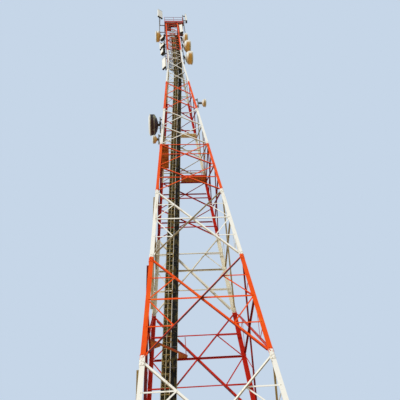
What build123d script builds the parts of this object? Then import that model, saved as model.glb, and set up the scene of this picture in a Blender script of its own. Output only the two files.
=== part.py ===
from build123d import *
import math
import os

# Four-legged steel lattice tower with platforms, climbing ladder, cable run, panel antennas and dishes.
# Every size is that of the half-size model, in millimetres: the real tower is 50 m tall and 5.7 m wide
# at its feet. The origin is on the tower's axis in the plane of the base plates' undersides, the near
# face looks along -Y and Z is up.

# Outline of the tower
BASE_HALF = 1430.0
TOP_HALF = 330.0
TAPER_TOP = 20000.0
TOWER_TOP = 25000.0

# Heights between the paint bands, which are also the leg joints
BAND_HEIGHTS = [15.0, 2500.0, 5000.0, 7500.0, 10000.0, 12500.0, 15000.0, 17500.0, 21250.0, TOWER_TOP]
LARGE_PANEL_BANDS = 4
SMALL_PANEL_BANDS = 7
MID_PITCH = 1250.0
TOP_PITCH = 625.0
JOINT_GAP = 0.3

# Leg angles, stepping down in size with height
LEG_FLANGE_LOW = 90.0
LEG_FLANGE_MID = 75.0
LEG_FLANGE_TOP = 60.0
LEG_THICK = 8.0

# Bracing angles
LOW_BAR = 38.0
MID_BAR = 30.0
TOP_BAR = 20.0
BAR_THICK = 5.0
REDUNDANT_BAR = 26.0
END_GAUGE = 0.5
END_RISE = 34.0
INWARDS = 1
OUTWARDS = -1
FLAT = 0
COPE = 62.0
OUTER_COPE = 110.0
QUARTER_DROP = 40.0
GUSSET_LOW = 96.0
GUSSET_MID = 100.0
GUSSET_TOP = 60.0
CROSS_PLATE_SHARE = 0.6
LEG_PLATE_SHARE = 1.4
PLATE_MARGIN = 6.0

# Base plates
PLATE_SIDE = 300.0
PLATE_THICK = 15.0
BOLT_SPACING = 220.0
BOLT_HOLE_R = 10.0
STIFFENER_TALL = 110.0
STIFFENER_THICK = 8.0
STIFFENER_EDGE = 5.0

# Climbing ladder and cable run, on the inner side of the far face
RUN_SETBACK = 110.0
LADDER_EDGE = 275.0
LADDER_WIDTH = 185.0
STRINGER_WIDE = 6.0
STRINGER_DEEP = 25.0
RUNG_PITCH = 150.0
RUNG_SIDE = 9.0
RUNG_DEPTH = 8.0
RUN_FOOT = 150.0
LADDER_HEAD = 550.0
LENGTH_GAP = 1.0
CABLE_GAP = 12.0
TRAY_LEFT = LADDER_EDGE + LADDER_WIDTH + CABLE_GAP
CABLE_TRAY_WIDTH = 145.0
TRAY_PITCH = 500.0
TRAY_HEAD = 100.0
CABLE_R = 7.5
CABLE_COUNT = 8
REAR_CABLE_R = 8.0
REAR_CABLE_COUNT = 9
CABLE_BEND = 350.0
CABLE_FOOT = 5.0
CABLE_HEAD = 300.0
SUPPORT_TALL = 25.0
SUPPORT_DEEP = 40.0
CLEAT_DEPTH = 50.0
PITCH_SHARE = 0.3

# Work platform at mid height
FLOOR_THICK = 12.0
FLOOR_CLEAR = 15.0
WORK_LEVEL = 12500.0
WALK_WIDTH = 250.0
RAIL_TALL = 550.0
RAIL_SIDE = 14.0
CLIMB_EDGE = 150.0
FAR_WALK_LEFT = -90.0

# Short walkway above it, hung on a ladder support: its edges as distances from the heel lines there
UPPER_LEVEL = 15000.0
UPPER_FROM_LEFT = 630.0
UPPER_FROM_RIGHT = 45.0
UPPER_FROM_FAR = 45.0
UPPER_WIDTH = 175.0
UPPER_BEAM = 30.0

# Rest landing across the far left corner: points as distances from the left and the far heel line
REST_BAND = 2
REST_BEAM_WIDE = 30.0
REST_BEAM_TALL = 40.0
REST_INSET = 32.0
REST_BEAM = [(42.0, 773.4), (842.0, 84.0)]
REST_LEFT_PLATE = [(REST_INSET, 772.0), (252.0, 582.0), (252.0, 537.0), (REST_INSET, 417.0)]
REST_RIGHT_PLATE = [(637.0, 251.0), (842.0, 74.0), (842.0, REST_INSET), (637.0, REST_INSET)]
REST_POST = (818.0, 107.0)
REST_POST_SIDE = 16.0

# Top platform
TOP_LEFT = -375.0
TOP_RIGHT = 600.0
TOP_NEAR = -375.0
TOP_FAR = 375.0
FRAME_WIDE = 30.0
FRAME_TALL = 100.0
TOP_RAIL_TALL = 750.0
TOE_BOARD = 150.0
HATCH_LEFT = -30.0
HATCH_RIGHT = 290.0
HATCH_NEAR = -110.0
LEFT_DECK_FAR = 90.0
DECK_SEAM = 1.0

# Poles and antennas
POLE_R = 19.0
ARM_TALL = 36.0
ARM_WIDE = 28.0
PANEL_DEEP = 70.0
PANEL_ROUND = 14.0
CLAMP_TALL = 40.0
CLAMP_SHARE = 0.35

# Poles: side of the tower, distances outside and inside the heel lines, foot, head and bracket heights
POLES = {
    "left_mast": (-1, 310.0, 30.0, 23500.0, 27150.0, (23700.0, 24750.0)),
    "left_upper": (-1, 100.0, 30.0, 20550.0, 23450.0, (20900.0, 22050.0, 23300.0)),
    "left_middle": (-1, 84.0, 22.0, 19000.0, 20450.0, (19100.0, 20250.0)),
    "left_lower": (-1, 52.0, 38.0, 13350.0, 14350.0, (13500.0, 14200.0)),
    "left_low": (-1, 53.0, 42.0, 12600.0, 13150.0, (12680.0, 13070.0)),
    "right_mast": (1, 300.0, 30.0, 23300.0, 26450.0, (23420.0, 24800.0)),
    "right_inner": (1, 150.0, 30.0, 23500.0, 24740.0, (23560.0, 24640.0)),
    "right_upper": (1, 65.0, 30.0, 19700.0, 23100.0, (19820.0, 21200.0, 22950.0)),
    "right_low": (1, 77.0, 38.0, 15250.0, 15900.0, (15330.0, 15820.0)),
}

# Panel antennas: pole, middle height, width, length, the way they face and distance from the pole
PANELS = [
    ("left_mast", 26370.0, 280.0, 1180.0, 300.0, 34.0),
    ("left_upper", 22050.0, 90.0, 800.0, 150.0, 163.0),
    ("left_middle", 19550.0, 200.0, 1030.0, 225.0, 34.0),
    ("right_inner", 24000.0, 160.0, 1100.0, 250.0, 34.0),
    ("right_mast", 25900.0, 150.0, 1080.0, 0.0, 110.0),
]

# Radio units: pole, middle height, width, length and the way they face
RADIO_DEEP = 120.0
RADIO_GAP = 30.0
RADIO_ROUND = 8.0
RADIOS = [
    ("left_upper", 22620.0, 220.0, 260.0, 225.0),
    ("left_upper", 21610.0, 200.0, 250.0, 225.0),
    ("left_upper", 20900.0, 180.0, 420.0, 215.0),
]

# Dishes: name, pole, height, distance of the middle from the pole, radius and depth
DISHES = [
    ("dish_large", "left_lower", 13850.0, 200.0, 345.0, 280.0),
    ("dish_left_low", "left_low", 12870.0, 115.0, 130.0, 130.0),
    ("dish_left_top", "left_upper", 23080.0, 270.0, 260.0, 250.0),
    ("dish_right_top", "right_upper", 22740.0, 165.0, 280.0, 240.0),
    ("dish_right_middle", "right_upper", 21800.0, 205.0, 280.0, 320.0),
    ("dish_right_lower", "right_upper", 20400.0, 215.0, 290.0, 320.0),
    ("dish_right_low", "right_low", 15570.0, 210.0, 140.0, 140.0),
]

# Dish form
DISH_SHARE = 0.45
HUB_R = 32.0
RIM_LIP = 6.0
BOWL_SHARE = 0.6
BOWL_WAIST = 0.62


def half_width(z):
    """Half the tower's outer width at a height."""
    share = min(z, TAPER_TOP) / TAPER_TOP
    return BASE_HALF + (TOP_HALF - BASE_HALF) * share


SLOPE = (BASE_HALF - TOP_HALF) / TAPER_TOP
STRETCH = math.hypot(1.0, SLOPE)


def leg_flange(band):
    """Flange width of the leg angle in a paint band."""
    if band < LARGE_PANEL_BANDS:
        return LEG_FLANGE_LOW
    return LEG_FLANGE_MID if band < SMALL_PANEL_BANDS else LEG_FLANGE_TOP


def bar_width(band):
    """Width of the main bracing angle in a paint band."""
    if band < LARGE_PANEL_BANDS:
        return LOW_BAR
    return MID_BAR if band < SMALL_PANEL_BANDS else TOP_BAR


def leg_section(z, flange):
    """L profile of the near left leg at a height, heel outwards."""
    w = half_width(z)
    thick = LEG_THICK
    points = [(0, 0), (flange, 0), (flange, thick), (thick, thick), (thick, flange), (0, flange)]
    outline = Polyline(*[(-w + x, -w + y, z) for x, y in points], close=True)
    return make_face(outline)


def leg_piece(z0, z1, flange):
    """One straight length of the near left leg, its flanges lying in the two faces of the tower."""
    return loft([leg_section(z0, flange), leg_section(z1, flange)], ruled=True)


def leg_band(band):
    """The leg's length in one paint band, in two pieces where the taper ends inside it."""
    z0 = BAND_HEIGHTS[band] + (JOINT_GAP if band else 0.0)
    z1 = BAND_HEIGHTS[band + 1]
    flange = leg_flange(band)
    if z0 < TAPER_TOP < z1:
        return [leg_piece(z0, TAPER_TOP, flange) + leg_piece(TAPER_TOP, z1, flange)]
    return [leg_piece(z0, z1, flange)]


def face_plane(z, depth):
    """Working plane of the near face, seen from outside: x across, y up the slope, z outwards."""
    tapered = z < TAPER_TOP
    slope = SLOPE if tapered else 0.0
    foot = 0.0 if tapered else TAPER_TOP
    origin = (0.0, -half_width(foot) + depth, foot)
    return Plane(origin=origin, x_dir=(1, 0, 0), z_dir=(0, -1, slope))


def to_face(x, z):
    """A point of the near face in its working plane."""
    return (x, z * STRETCH) if z < TAPER_TOP else (x, z - TAPER_TOP)


def strip(a, b, width, shift=0.0, trim=0.0):
    """Flat bar between two points of a face, moved sideways by shift and shortened by trim at both ends."""
    dx, dy = b[0] - a[0], b[1] - a[1]
    angle = math.degrees(math.atan2(dy, dx))
    length = math.hypot(dx, dy) - 2 * trim
    middle = ((a[0] + b[0]) / 2, (a[1] + b[1]) / 2)
    return Pos(*middle) * Rot(0, 0, angle) * Pos(0, shift) * Rectangle(length, width)


def flanges(bars, way, cope):
    """Edges of the angles' outstanding flanges that turn one way, cut back where the legs are."""
    edges = []
    for a, b, size, rib in bars:
        if rib == way:
            edges.append(strip(to_face(*a), to_face(*b), BAR_THICK, way * (size - BAR_THICK) / 2, cope))
    return Sketch() + edges


def panel(z, bars, plates, width):
    """A flat lattice: angles fused where they cross, their outstanding flanges turned inwards or outwards."""
    flats = Sketch() + [strip(to_face(*a), to_face(*b), size) for a, b, size, rib in bars]
    flats += [Pos(*to_face(*middle)) * Rectangle(wide, tall) for middle, wide, tall in plates]
    solid = extrude(face_plane(z, LEG_THICK) * flats, -BAR_THICK)
    solid += extrude(face_plane(z, LEG_THICK) * flanges(bars, INWARDS, COPE), -width)
    if any(rib == OUTWARDS for a, b, size, rib in bars):
        solid += extrude(face_plane(z, LEG_THICK + BAR_THICK) * flanges(bars, OUTWARDS, OUTER_COPE), width)
    return solid


def leg_node(z, band, side):
    """Where the bracing's line meets the leg flange."""
    return (side * (half_width(z) - END_GAUGE * leg_flange(band)), z)


def plate_width(band):
    """Width of a joint plate that stays clear of the next face's bracing."""
    return 2 * (END_GAUGE * leg_flange(band) - LEG_THICK - BAR_THICK - PLATE_MARGIN)


def cross_bars(z0, z1, band, size, rising_rib):
    """The two diagonals of a panel."""
    low, high = z0 + END_RISE, z1 - END_RISE
    ribs = {-1: rising_rib, 1: INWARDS}
    return [(leg_node(low, band, side), leg_node(high, band, -side), size, ribs[side]) for side in (-1, 1)]


def crossing(z0, z1, band):
    """Height at which the two diagonals of a panel cross."""
    low, high = z0 + END_RISE, z1 - END_RISE
    a, b = leg_node(low, band, 1)[0], leg_node(high, band, 1)[0]
    return low + (high - low) * a / (a + b)


def between(a, b, share):
    """A point part of the way from a to b."""
    return (a[0] + (b[0] - a[0]) * share, a[1] + (b[1] - a[1]) * share)


def large_panel(band):
    """Lower panel: two diagonals, a horizontal through their crossing, and redundants to the legs."""
    z0, z1 = BAND_HEIGHTS[band], BAND_HEIGHTS[band + 1]
    size = bar_width(band)
    bars = cross_bars(z0, z1, band, size, OUTWARDS)
    middle = crossing(z0, z1, band)
    bars.append((leg_node(middle, band, -1), leg_node(middle, band, 1), size, INWARDS))
    for side in (-1, 1):
        for end in (z0 + END_RISE, z1 - END_RISE):
            quarter = between(leg_node(end, band, side), (0.0, middle), 0.5)
            bars.append((leg_node(middle, band, side), quarter, REDUNDANT_BAR, FLAT))
            bars.append((leg_node(quarter[1], band, side), quarter, REDUNDANT_BAR, FLAT))
    plates = [((0.0, middle), GUSSET_LOW, GUSSET_LOW)]
    return panel(z0, bars, plates, size)


def small_panels(z0, z1, band, horizontals, top_beam):
    """Upper panels: a ladder of crossed diagonals, with light horizontals where they are asked for."""
    size = bar_width(band)
    pitch = MID_PITCH if z0 < TAPER_TOP else TOP_PITCH
    count = round((z1 - z0) / pitch)
    step = (z1 - z0) / count
    gusset = GUSSET_MID if band < SMALL_PANEL_BANDS else GUSSET_TOP
    bars, plates = [], []
    for index in range(count):
        low, high = z0 + index * step, z0 + (index + 1) * step
        bars += cross_bars(low, high, band, size, INWARDS)
        middle = crossing(low, high, band)
        plates.append(((0.0, middle), gusset * CROSS_PLATE_SHARE, gusset * CROSS_PLATE_SHARE))
        if horizontals:
            bars.append((leg_node(middle, band, -1), leg_node(middle, band, 1), size, INWARDS))
        if index:
            tall = gusset * LEG_PLATE_SHARE
            plates += [(leg_node(low, band, side), plate_width(band), tall) for side in (-1, 1)]
    if top_beam:
        beam = z1 - END_RISE
        bars.append((leg_node(beam, band, -1), leg_node(beam, band, 1), size, INWARDS))
    return panel(z0, bars, plates, size)


def face_band(band):
    """All bracing of the near face in one paint band."""
    z0, z1 = BAND_HEIGHTS[band], BAND_HEIGHTS[band + 1]
    if band < LARGE_PANEL_BANDS:
        return [large_panel(band)]
    if z0 < TAPER_TOP < z1:
        spans = ((z0, TAPER_TOP), (TAPER_TOP, z1))
        return [small_panels(low, high, band, False, False) for low, high in spans]
    platform_band = z1 == WORK_LEVEL
    return [small_panels(z0, z1, band, platform_band, platform_band or z1 == TOWER_TOP)]


def turned(solids, quarter_turns):
    """Copies of solids turned about the tower's axis."""
    return [solid.rotate(Axis.Z, 90 * quarter_turns) for solid in solids]


def block(x0, x1, y0, y1, z0, z1):
    """Box between two corners."""
    return Pos((x0 + x1) / 2, (y0 + y1) / 2, (z0 + z1) / 2) * Box(x1 - x0, y1 - y0, z1 - z0)


def base_plates():
    """Square plates under the legs, each with four anchor bolt holes and two stiffeners outside the leg."""
    centre = BASE_HALF - LEG_FLANGE_LOW / 2
    holes = GridLocations(BOLT_SPACING, BOLT_SPACING, 2, 2)
    plate = Rectangle(PLATE_SIDE, PLATE_SIDE) - holes * Circle(BOLT_HOLE_R)
    solid = extrude(plate, PLATE_THICK)
    edge = centre + PLATE_SIDE / 2 - STIFFENER_EDGE
    top = PLATE_THICK + STIFFENER_TALL
    outline = [(-edge, PLATE_THICK), (-BASE_HALF, PLATE_THICK), (-BASE_HALF, top)]
    near_left = Pos(-centre, -centre, 0) * solid
    for corners in ([(-centre, y, z) for y, z in outline], [(x, -centre, z) for x, z in outline]):
        near_left += extrude(make_face(Polyline(*corners, close=True)), STIFFENER_THICK / 2, both=True)
    return [piece for turn in range(4) for piece in turned([near_left], turn)]


def run_points(shift, z):
    """A point of the near face that keeps its distance from the right leg's heel line."""
    return (half_width(z) - shift, z)


def run_strip(shift, z0, z1, width):
    """Strip of the ladder run, parallel to the right leg's heel line."""
    return strip(to_face(*run_points(shift, z0)), to_face(*run_points(shift, z1)), width)


def rung_heights(z0, z1, pitch):
    """Even heights inside one length of the run."""
    count = int((z1 - z0) / pitch)
    rest = (z1 - z0 - (count - 1) * pitch) / 2
    return [z0 + rest + index * pitch for index in range(count)]


def ladder_length(z0, z1, left, width, pitch, deep, rung_depth):
    """One straight length of a ladder: two flat stringers and square rungs between them."""
    plane = face_plane((z0 + z1) / 2, RUN_SETBACK)
    rung_plane = face_plane((z0 + z1) / 2, RUN_SETBACK + rung_depth)
    sides = Sketch() + [run_strip(shift, z0, z1, STRINGER_WIDE) for shift in (left, left + width)]
    rungs = []
    for z in rung_heights(z0, z1, pitch):
        a, b = run_points(left, z), run_points(left + width, z)
        rungs.append(strip(to_face(*a), to_face(*b), RUNG_SIDE))
    bars = extrude(rung_plane * (Sketch() + rungs), -RUNG_SIDE)
    return extrude(plane * sides, -deep) + bars


def run_lengths(left, width, pitch, deep, rung_depth, top):
    """The inclined and the upright length of a ladder, on the far face."""
    low = ladder_length(RUN_FOOT, TAPER_TOP - LENGTH_GAP, left, width, pitch, deep, rung_depth)
    high = ladder_length(TAPER_TOP + LENGTH_GAP, top, left, width, pitch, deep, rung_depth)
    return turned([low, high], 2)


def support_heights():
    """Heights of the bars that carry the ladder and the cable tray."""
    heights = [UPPER_LEVEL - FLOOR_THICK - JOINT_GAP - SUPPORT_TALL / 2]
    for band in range(len(BAND_HEIGHTS) - 1):
        z0, z1 = BAND_HEIGHTS[band], BAND_HEIGHTS[band + 1]
        if band < LARGE_PANEL_BANDS:
            middle = crossing(z0, z1, band)
            heights += [(end + middle) / 2 - QUARTER_DROP for end in (z0 + END_RISE, z1 - END_RISE)]
        else:
            count = round((z1 - z0) / MID_PITCH)
            step = (z1 - z0) / count
            heights += [z0 + (index + PITCH_SHARE) * step for index in range(count)]
    return heights


def support_cleats(z, reach):
    """Plates at a support's ends that reach the inner faces of the narrow upper leg angles."""
    if z < BAND_HEIGHTS[SMALL_PANEL_BANDS]:
        return []
    across = reach - BAR_THICK / 2
    ends = [Pos(*to_face(x, z)) * Rectangle(BAR_THICK, SUPPORT_TALL) for x in (-across, across)]
    return extrude(face_plane(z, CLEAT_DEPTH) * (Sketch() + ends), CLEAT_DEPTH + JOINT_GAP - RUN_SETBACK)


def ladder_supports():
    """Angle bars from leg to leg behind the ladder run."""
    bars = []
    for z in support_heights():
        reach = half_width(z + SUPPORT_TALL) - LEG_THICK
        ends = (to_face(-reach, z), to_face(reach, z))
        web_plane = face_plane(z, RUN_SETBACK - BAR_THICK - JOINT_GAP)
        web = extrude(web_plane * strip(*ends, SUPPORT_TALL), -BAR_THICK)
        ledge = strip(*ends, BAR_THICK, (SUPPORT_TALL - BAR_THICK) / 2)
        flange = extrude(face_plane(z, RUN_SETBACK - SUPPORT_DEEP - JOINT_GAP) * ledge, -SUPPORT_DEEP)
        bars.append(web + flange + support_cleats(z, reach))
    return turned(bars, 2)


def cable(shift, depth, radius):
    """One feeder cable clamped along the run, with a wide bend where the taper ends."""
    top = TOWER_TOP - CABLE_HEAD
    points = [(half_width(z) - shift, depth - half_width(z), z) for z in (CABLE_FOOT, TAPER_TOP, top)]
    route = FilletPolyline(*points, radius=CABLE_BEND)
    start = Plane(origin=route @ 0, z_dir=route % 0)
    return sweep(start * Circle(radius), path=route)


def cable_row(left, width, count, depth, radius):
    """Cables laid evenly side by side between two stringers, on the far face."""
    pitch = (width - STRINGER_WIDE) / count
    first = left + (STRINGER_WIDE + pitch) / 2
    return turned([cable(first + index * pitch, depth, radius) for index in range(count)], 2)


def work_floor():
    """Walkways on the left and far sides of the work platform."""
    edge = half_width(WORK_LEVEL) - FLOOR_CLEAR
    low = WORK_LEVEL - END_RISE + MID_BAR / 2 + JOINT_GAP
    left = block(-edge, -edge + WALK_WIDTH, -edge, CLIMB_EDGE, low, WORK_LEVEL)
    far = block(FAR_WALK_LEFT, edge, edge - WALK_WIDTH + FLOOR_CLEAR, edge, low, WORK_LEVEL)
    return left, far


def rails(level, tall, sides, side_wide):
    """Guard rails on the inner side of the faces, at full and half height."""
    bars = []
    for share in (0.5, 1.0):
        z = level + share * tall
        w = half_width(z)
        reach = w - MID_BAR - LEG_THICK - 2 * side_wide
        face = face_plane(z, LEG_THICK + MID_BAR + JOINT_GAP)
        bar = extrude(face * strip(to_face(-reach, z), to_face(reach, z), side_wide), -side_wide)
        for side in sides:
            bars += turned([bar], side)
    return bars


def upper_walkway():
    """Short walkway at the far right, with a beam under its near edge and two beams to the ladder support."""
    z1 = UPPER_LEVEL - FLOOR_THICK
    z0 = z1 - SUPPORT_TALL
    w = half_width(z1)
    left, right, far = UPPER_FROM_LEFT - w, w - UPPER_FROM_RIGHT, w - UPPER_FROM_FAR
    near = far - UPPER_WIDTH
    walkway = block(left, right, near, far, z1, UPPER_LEVEL)
    walkway += block(left, right, near, near + UPPER_BEAM, z0, z1)
    for x in (left, right - UPPER_BEAM):
        walkway += block(x, x + UPPER_BEAM, near, w - RUN_SETBACK, z0, z1)
    return walkway


def prism(corners, z0, z1):
    """Plate with straight sides between two heights."""
    outline = Polyline(*[(x, y, z0) for x, y in corners], close=True)
    return extrude(make_face(outline), z1 - z0, dir=(0, 0, 1))


def rest_landing():
    """Corner landing: a beam laid across two horizontals, a plate at each end and a post under a support."""
    z0, z1 = BAND_HEIGHTS[REST_BAND], BAND_HEIGHTS[REST_BAND + 1]
    middle = crossing(z0, z1, REST_BAND)
    w = half_width(middle)
    foot = middle + bar_width(REST_BAND) / 2 - SLOPE * (REST_INSET - LEG_THICK) + JOINT_GAP
    start, end = [(x - w, w - y) for x, y in REST_BEAM]
    landing = Pos(0, 0, foot) * extrude(strip(start, end, REST_BEAM_WIDE), REST_BEAM_TALL)
    for corners in (REST_LEFT_PLATE, REST_RIGHT_PLATE):
        landing += prism([(x - w, w - y) for x, y in corners], foot, foot + FLOOR_THICK)
    support = (z1 - END_RISE + middle) / 2 - QUARTER_DROP - SUPPORT_TALL / 2
    half = REST_POST_SIDE / 2
    x, y = REST_POST[0] - w, w - REST_POST[1]
    landing += block(x - half, x + half, y - half, y + half, foot + REST_BEAM_TALL / 2, support - JOINT_GAP)
    return landing


def top_frame():
    """Beams on the leg tops that carry the top deck past the tower's sides."""
    z0, z1 = TOWER_TOP, TOWER_TOP + FRAME_TALL
    frame = []
    for y in (-TOP_HALF, TOP_HALF - FRAME_WIDE):
        frame.append(block(TOP_LEFT, TOP_RIGHT, y, y + FRAME_WIDE, z0, z1))
    for x in (TOP_LEFT, -TOP_HALF, TOP_HALF - FRAME_WIDE, TOP_RIGHT - FRAME_WIDE):
        frame.append(block(x, x + FRAME_WIDE, TOP_NEAR, TOP_FAR, z0, z1))
    frame.append(block(-TOP_HALF, TOP_HALF, HATCH_NEAR - FRAME_WIDE, HATCH_NEAR, z0, z1))
    frame.append(block(-TOP_HALF, HATCH_LEFT, LEFT_DECK_FAR - FRAME_WIDE, LEFT_DECK_FAR, z0, z1))
    frame.append(block(HATCH_LEFT - FRAME_WIDE, HATCH_LEFT, -TOP_HALF, LEFT_DECK_FAR, z0, z1))
    return Part() + frame


def top_deck():
    """Deck plates round the ladder opening."""
    z0 = TOWER_TOP + FRAME_TALL
    z1 = z0 + FLOOR_THICK
    return [
        block(TOP_LEFT, HATCH_LEFT, TOP_NEAR, LEFT_DECK_FAR, z0, z1),
        block(HATCH_LEFT + DECK_SEAM, HATCH_RIGHT - DECK_SEAM, TOP_NEAR, HATCH_NEAR, z0, z1),
        block(HATCH_RIGHT, TOP_RIGHT, TOP_NEAR, TOP_FAR, z0, z1),
    ]


def rail_panel(length):
    """One side of the top railing, standing in the XZ plane: toe board, two rails and posts."""
    side = RAIL_SIDE
    rails_2d = [Pos(0, share * TOP_RAIL_TALL - side / 2) * Rectangle(length, side) for share in (0.5, 1.0)]
    spots = (-(length - side) / 2, 0.0, (length - side) / 2)
    posts = [Pos(x, TOP_RAIL_TALL / 2) * Rectangle(side, TOP_RAIL_TALL) for x in spots]
    lattice = extrude(Plane.XZ * (Sketch() + rails_2d + posts), -side)
    toe = extrude(Plane.XZ * (Pos(0, TOE_BOARD / 2) * Rectangle(length, TOE_BOARD)), -BAR_THICK)
    return lattice + toe


def top_railing():
    """Four railing panels round the top deck."""
    z0 = TOWER_TOP + FRAME_TALL + FLOOR_THICK
    wide, deep = TOP_RIGHT - TOP_LEFT, TOP_FAR - TOP_NEAR
    middle_x, middle_y = (TOP_LEFT + TOP_RIGHT) / 2, (TOP_NEAR + TOP_FAR) / 2
    long_panel = rail_panel(wide)
    short_panel = rail_panel(deep - 2 * RAIL_SIDE - 2 * JOINT_GAP)
    return [
        Pos(middle_x, TOP_NEAR, z0) * long_panel,
        Pos(middle_x, TOP_FAR, z0) * Rot(0, 0, 180) * long_panel,
        Pos(TOP_LEFT, middle_y, z0) * Rot(0, 0, -90) * short_panel,
        Pos(TOP_RIGHT, middle_y, z0) * Rot(0, 0, 90) * short_panel,
    ]


def pole_place(name):
    """Where a pole's axis stands, from the tower's width half-way between its brackets."""
    side, outside, inside, foot, head, heights = POLES[name]
    w = half_width((heights[0] + heights[-1]) / 2)
    return side * (w + outside), inside - w


def pole(x, y, z0, z1):
    """Upright antenna pipe."""
    return Pos(x, y, z0) * Cylinder(POLE_R, z1 - z0, align=(Align.CENTER, Align.CENTER, Align.MIN))


def arm(x, y, z):
    """Bracket from a leg flange's outer face to a pole beside it, hollowed to seat on the pole."""
    side = 1 if x > 0 else -1
    w = half_width(z)
    inner, outer = sorted((side * (w - 2 * ARM_TALL), x))
    bar = block(inner, outer, y - ARM_WIDE / 2, y + ARM_WIDE / 2, z - ARM_TALL / 2, z + ARM_TALL / 2)
    bar -= Pos(x, y, z) * Cylinder(POLE_R + JOINT_GAP, 2 * ARM_TALL)
    slope = SLOPE if z < TAPER_TOP else 0.0
    face = Plane(origin=(side * (w + JOINT_GAP), y, z), z_dir=(side, 0, slope))
    return split(bar, bisect_by=face, keep=Keep.TOP)


def clamp(place, z, gap):
    """Clamp from a pole's centre to the back of a unit, hollowed to seat on the pole."""
    bar = block(0, POLE_R + gap - JOINT_GAP, -POLE_R, POLE_R, -CLAMP_TALL / 2, CLAMP_TALL / 2)
    return place * Pos(0, 0, z) * (bar - Cylinder(POLE_R + JOINT_GAP, 2 * CLAMP_TALL))


def unit(x, y, z, size, length, facing, gap):
    """Upright rounded box in front of a pole and its two clamps, facing an angle from +X."""
    deep, width, rounding = size
    place = Pos(x, y) * Rot(0, 0, facing)
    box = extrude(Pos(0, 0, z - length / 2) * RectangleRounded(deep, width, rounding), length)
    clamps = [clamp(place, z + share * length, gap) for share in (-CLAMP_SHARE, CLAMP_SHARE)]
    return place * Pos(POLE_R + gap + deep / 2, 0) * box, clamps


def drum(x, y, z, radius, deep, side):
    """Shrouded dish with its axis along X: a lipped radome, a short drum and a bowl that narrows to a hub."""
    shroud = deep * (1 - DISH_SHARE)
    bowl = deep * DISH_SHARE
    outline = Polyline((0, 0), (radius - RIM_LIP, 0), (radius, RIM_LIP), (radius, shroud))
    waist = (radius * BOWL_WAIST, shroud + bowl * BOWL_SHARE)
    back = ThreePointArc((radius, shroud), waist, (HUB_R, deep))
    close = Polyline((HUB_R, deep), (0, deep), (0, 0))
    body = revolve(make_face(Plane.XZ * (outline + back + close)), Axis.Z)
    return Pos(x + side * deep / 2, y, z) * Rot(0, -90 * side, 0) * body


def dish_mount(pole_x, y, z, reach, deep, side):
    """Block clamped to a pole that carries a dish by its hub."""
    back = pole_x + side * (reach - deep / 2 - JOINT_GAP)
    inner, outer = sorted((pole_x, back))
    bar = block(inner, outer, y - HUB_R, y + HUB_R, z - HUB_R, z + HUB_R)
    return bar - Pos(pole_x, y, z) * Cylinder(POLE_R + JOINT_GAP, 4 * HUB_R)


def save(name, solids):
    """Writes one node."""
    flat = [piece for solid in solids for piece in solid.solids()]
    export_step(Compound(flat), f"parts/{name}.step")
    print(name, len(flat))


os.makedirs("parts", exist_ok=True)
SIDES = ["near", "right", "far", "left"]
CORNERS = ["near_left", "near_right", "far_right", "far_left"]
PAINTS = {"red": range(0, 9, 2), "white": range(1, 9, 2)}
for paint, bands in PAINTS.items():
    legs = [piece for band in bands for piece in leg_band(band)]
    faces = [piece for band in bands for piece in face_band(band)]
    for turn in range(4):
        save(f"leg_{CORNERS[turn]}_{paint}", turned(legs, turn))
        save(f"face_{SIDES[turn]}_{paint}", turned(faces, turn))

save("base_plates", base_plates())
ladder_top, tray_top = TOWER_TOP + LADDER_HEAD, TOWER_TOP - TRAY_HEAD
ladder = run_lengths(LADDER_EDGE, LADDER_WIDTH, RUNG_PITCH, STRINGER_DEEP, RUNG_DEPTH, ladder_top)
tray = run_lengths(TRAY_LEFT, CABLE_TRAY_WIDTH, TRAY_PITCH, STRINGER_DEEP, 0.0, tray_top)
save("climbing_ladder", ladder)
save("cable_tray", tray)
save("ladder_supports", ladder_supports())
FRONT_DEPTH = RUN_SETBACK + RUNG_SIDE + CABLE_R + JOINT_GAP
REAR_DEPTH = RUN_SETBACK - SUPPORT_DEEP - 2 * JOINT_GAP - REAR_CABLE_R
save("feeder_cables", cable_row(TRAY_LEFT, CABLE_TRAY_WIDTH, CABLE_COUNT, FRONT_DEPTH, CABLE_R))
save("rear_feeder_cables", cable_row(LADDER_EDGE, LADDER_WIDTH, REAR_CABLE_COUNT, REAR_DEPTH, REAR_CABLE_R))
left_walk, far_walk = work_floor()
save("work_platform_left_walk", [left_walk])
save("work_platform_far_walk", [far_walk])
save("work_platform_rails", rails(WORK_LEVEL, RAIL_TALL, (1, 2, 3), RAIL_SIDE))
save("upper_walkway", [upper_walkway()])
save("rest_landing", [rest_landing()])
save("top_platform_frame", [top_frame()])
save("top_platform_deck", top_deck())
save("top_platform_railing", top_railing())

poles, arms, panels, radios, clamps, mounts = [], [], [], [], [], []
for name, (side, outside, inside, foot, head, heights) in POLES.items():
    x, y = pole_place(name)
    poles.append(pole(x, y, foot, head))
    arms += [arm(x, y, z) for z in heights]
for name, z, width, length, facing, gap in PANELS:
    radome, pair = unit(*pole_place(name), z, (PANEL_DEEP, width, PANEL_ROUND), length, facing, gap)
    panels.append(radome)
    clamps += pair
for name, z, width, length, facing in RADIOS:
    radio, pair = unit(*pole_place(name), z, (RADIO_DEEP, width, RADIO_ROUND), length, facing, RADIO_GAP)
    radios.append(radio)
    clamps += pair
for name, pole_name, z, reach, radius, deep in DISHES:
    x, y = pole_place(pole_name)
    side = POLES[pole_name][0]
    save(name, [drum(x + side * reach, y, z, radius, deep, side)])
    mounts.append(dish_mount(x, y, z, reach, deep, side))
save("radio_units", radios)
save("antenna_poles", poles)
save("antenna_arms", arms)
save("panel_antennas", panels)
save("panel_clamps", clamps)
save("dish_mounts", mounts)
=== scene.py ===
"""Finishes and small parts of the half-size lattice tower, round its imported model, in metres."""

from __future__ import annotations

import logging
import math
import random
from collections.abc import Callable, Iterable, Sequence
from dataclasses import dataclass, field
from enum import Enum

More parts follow.
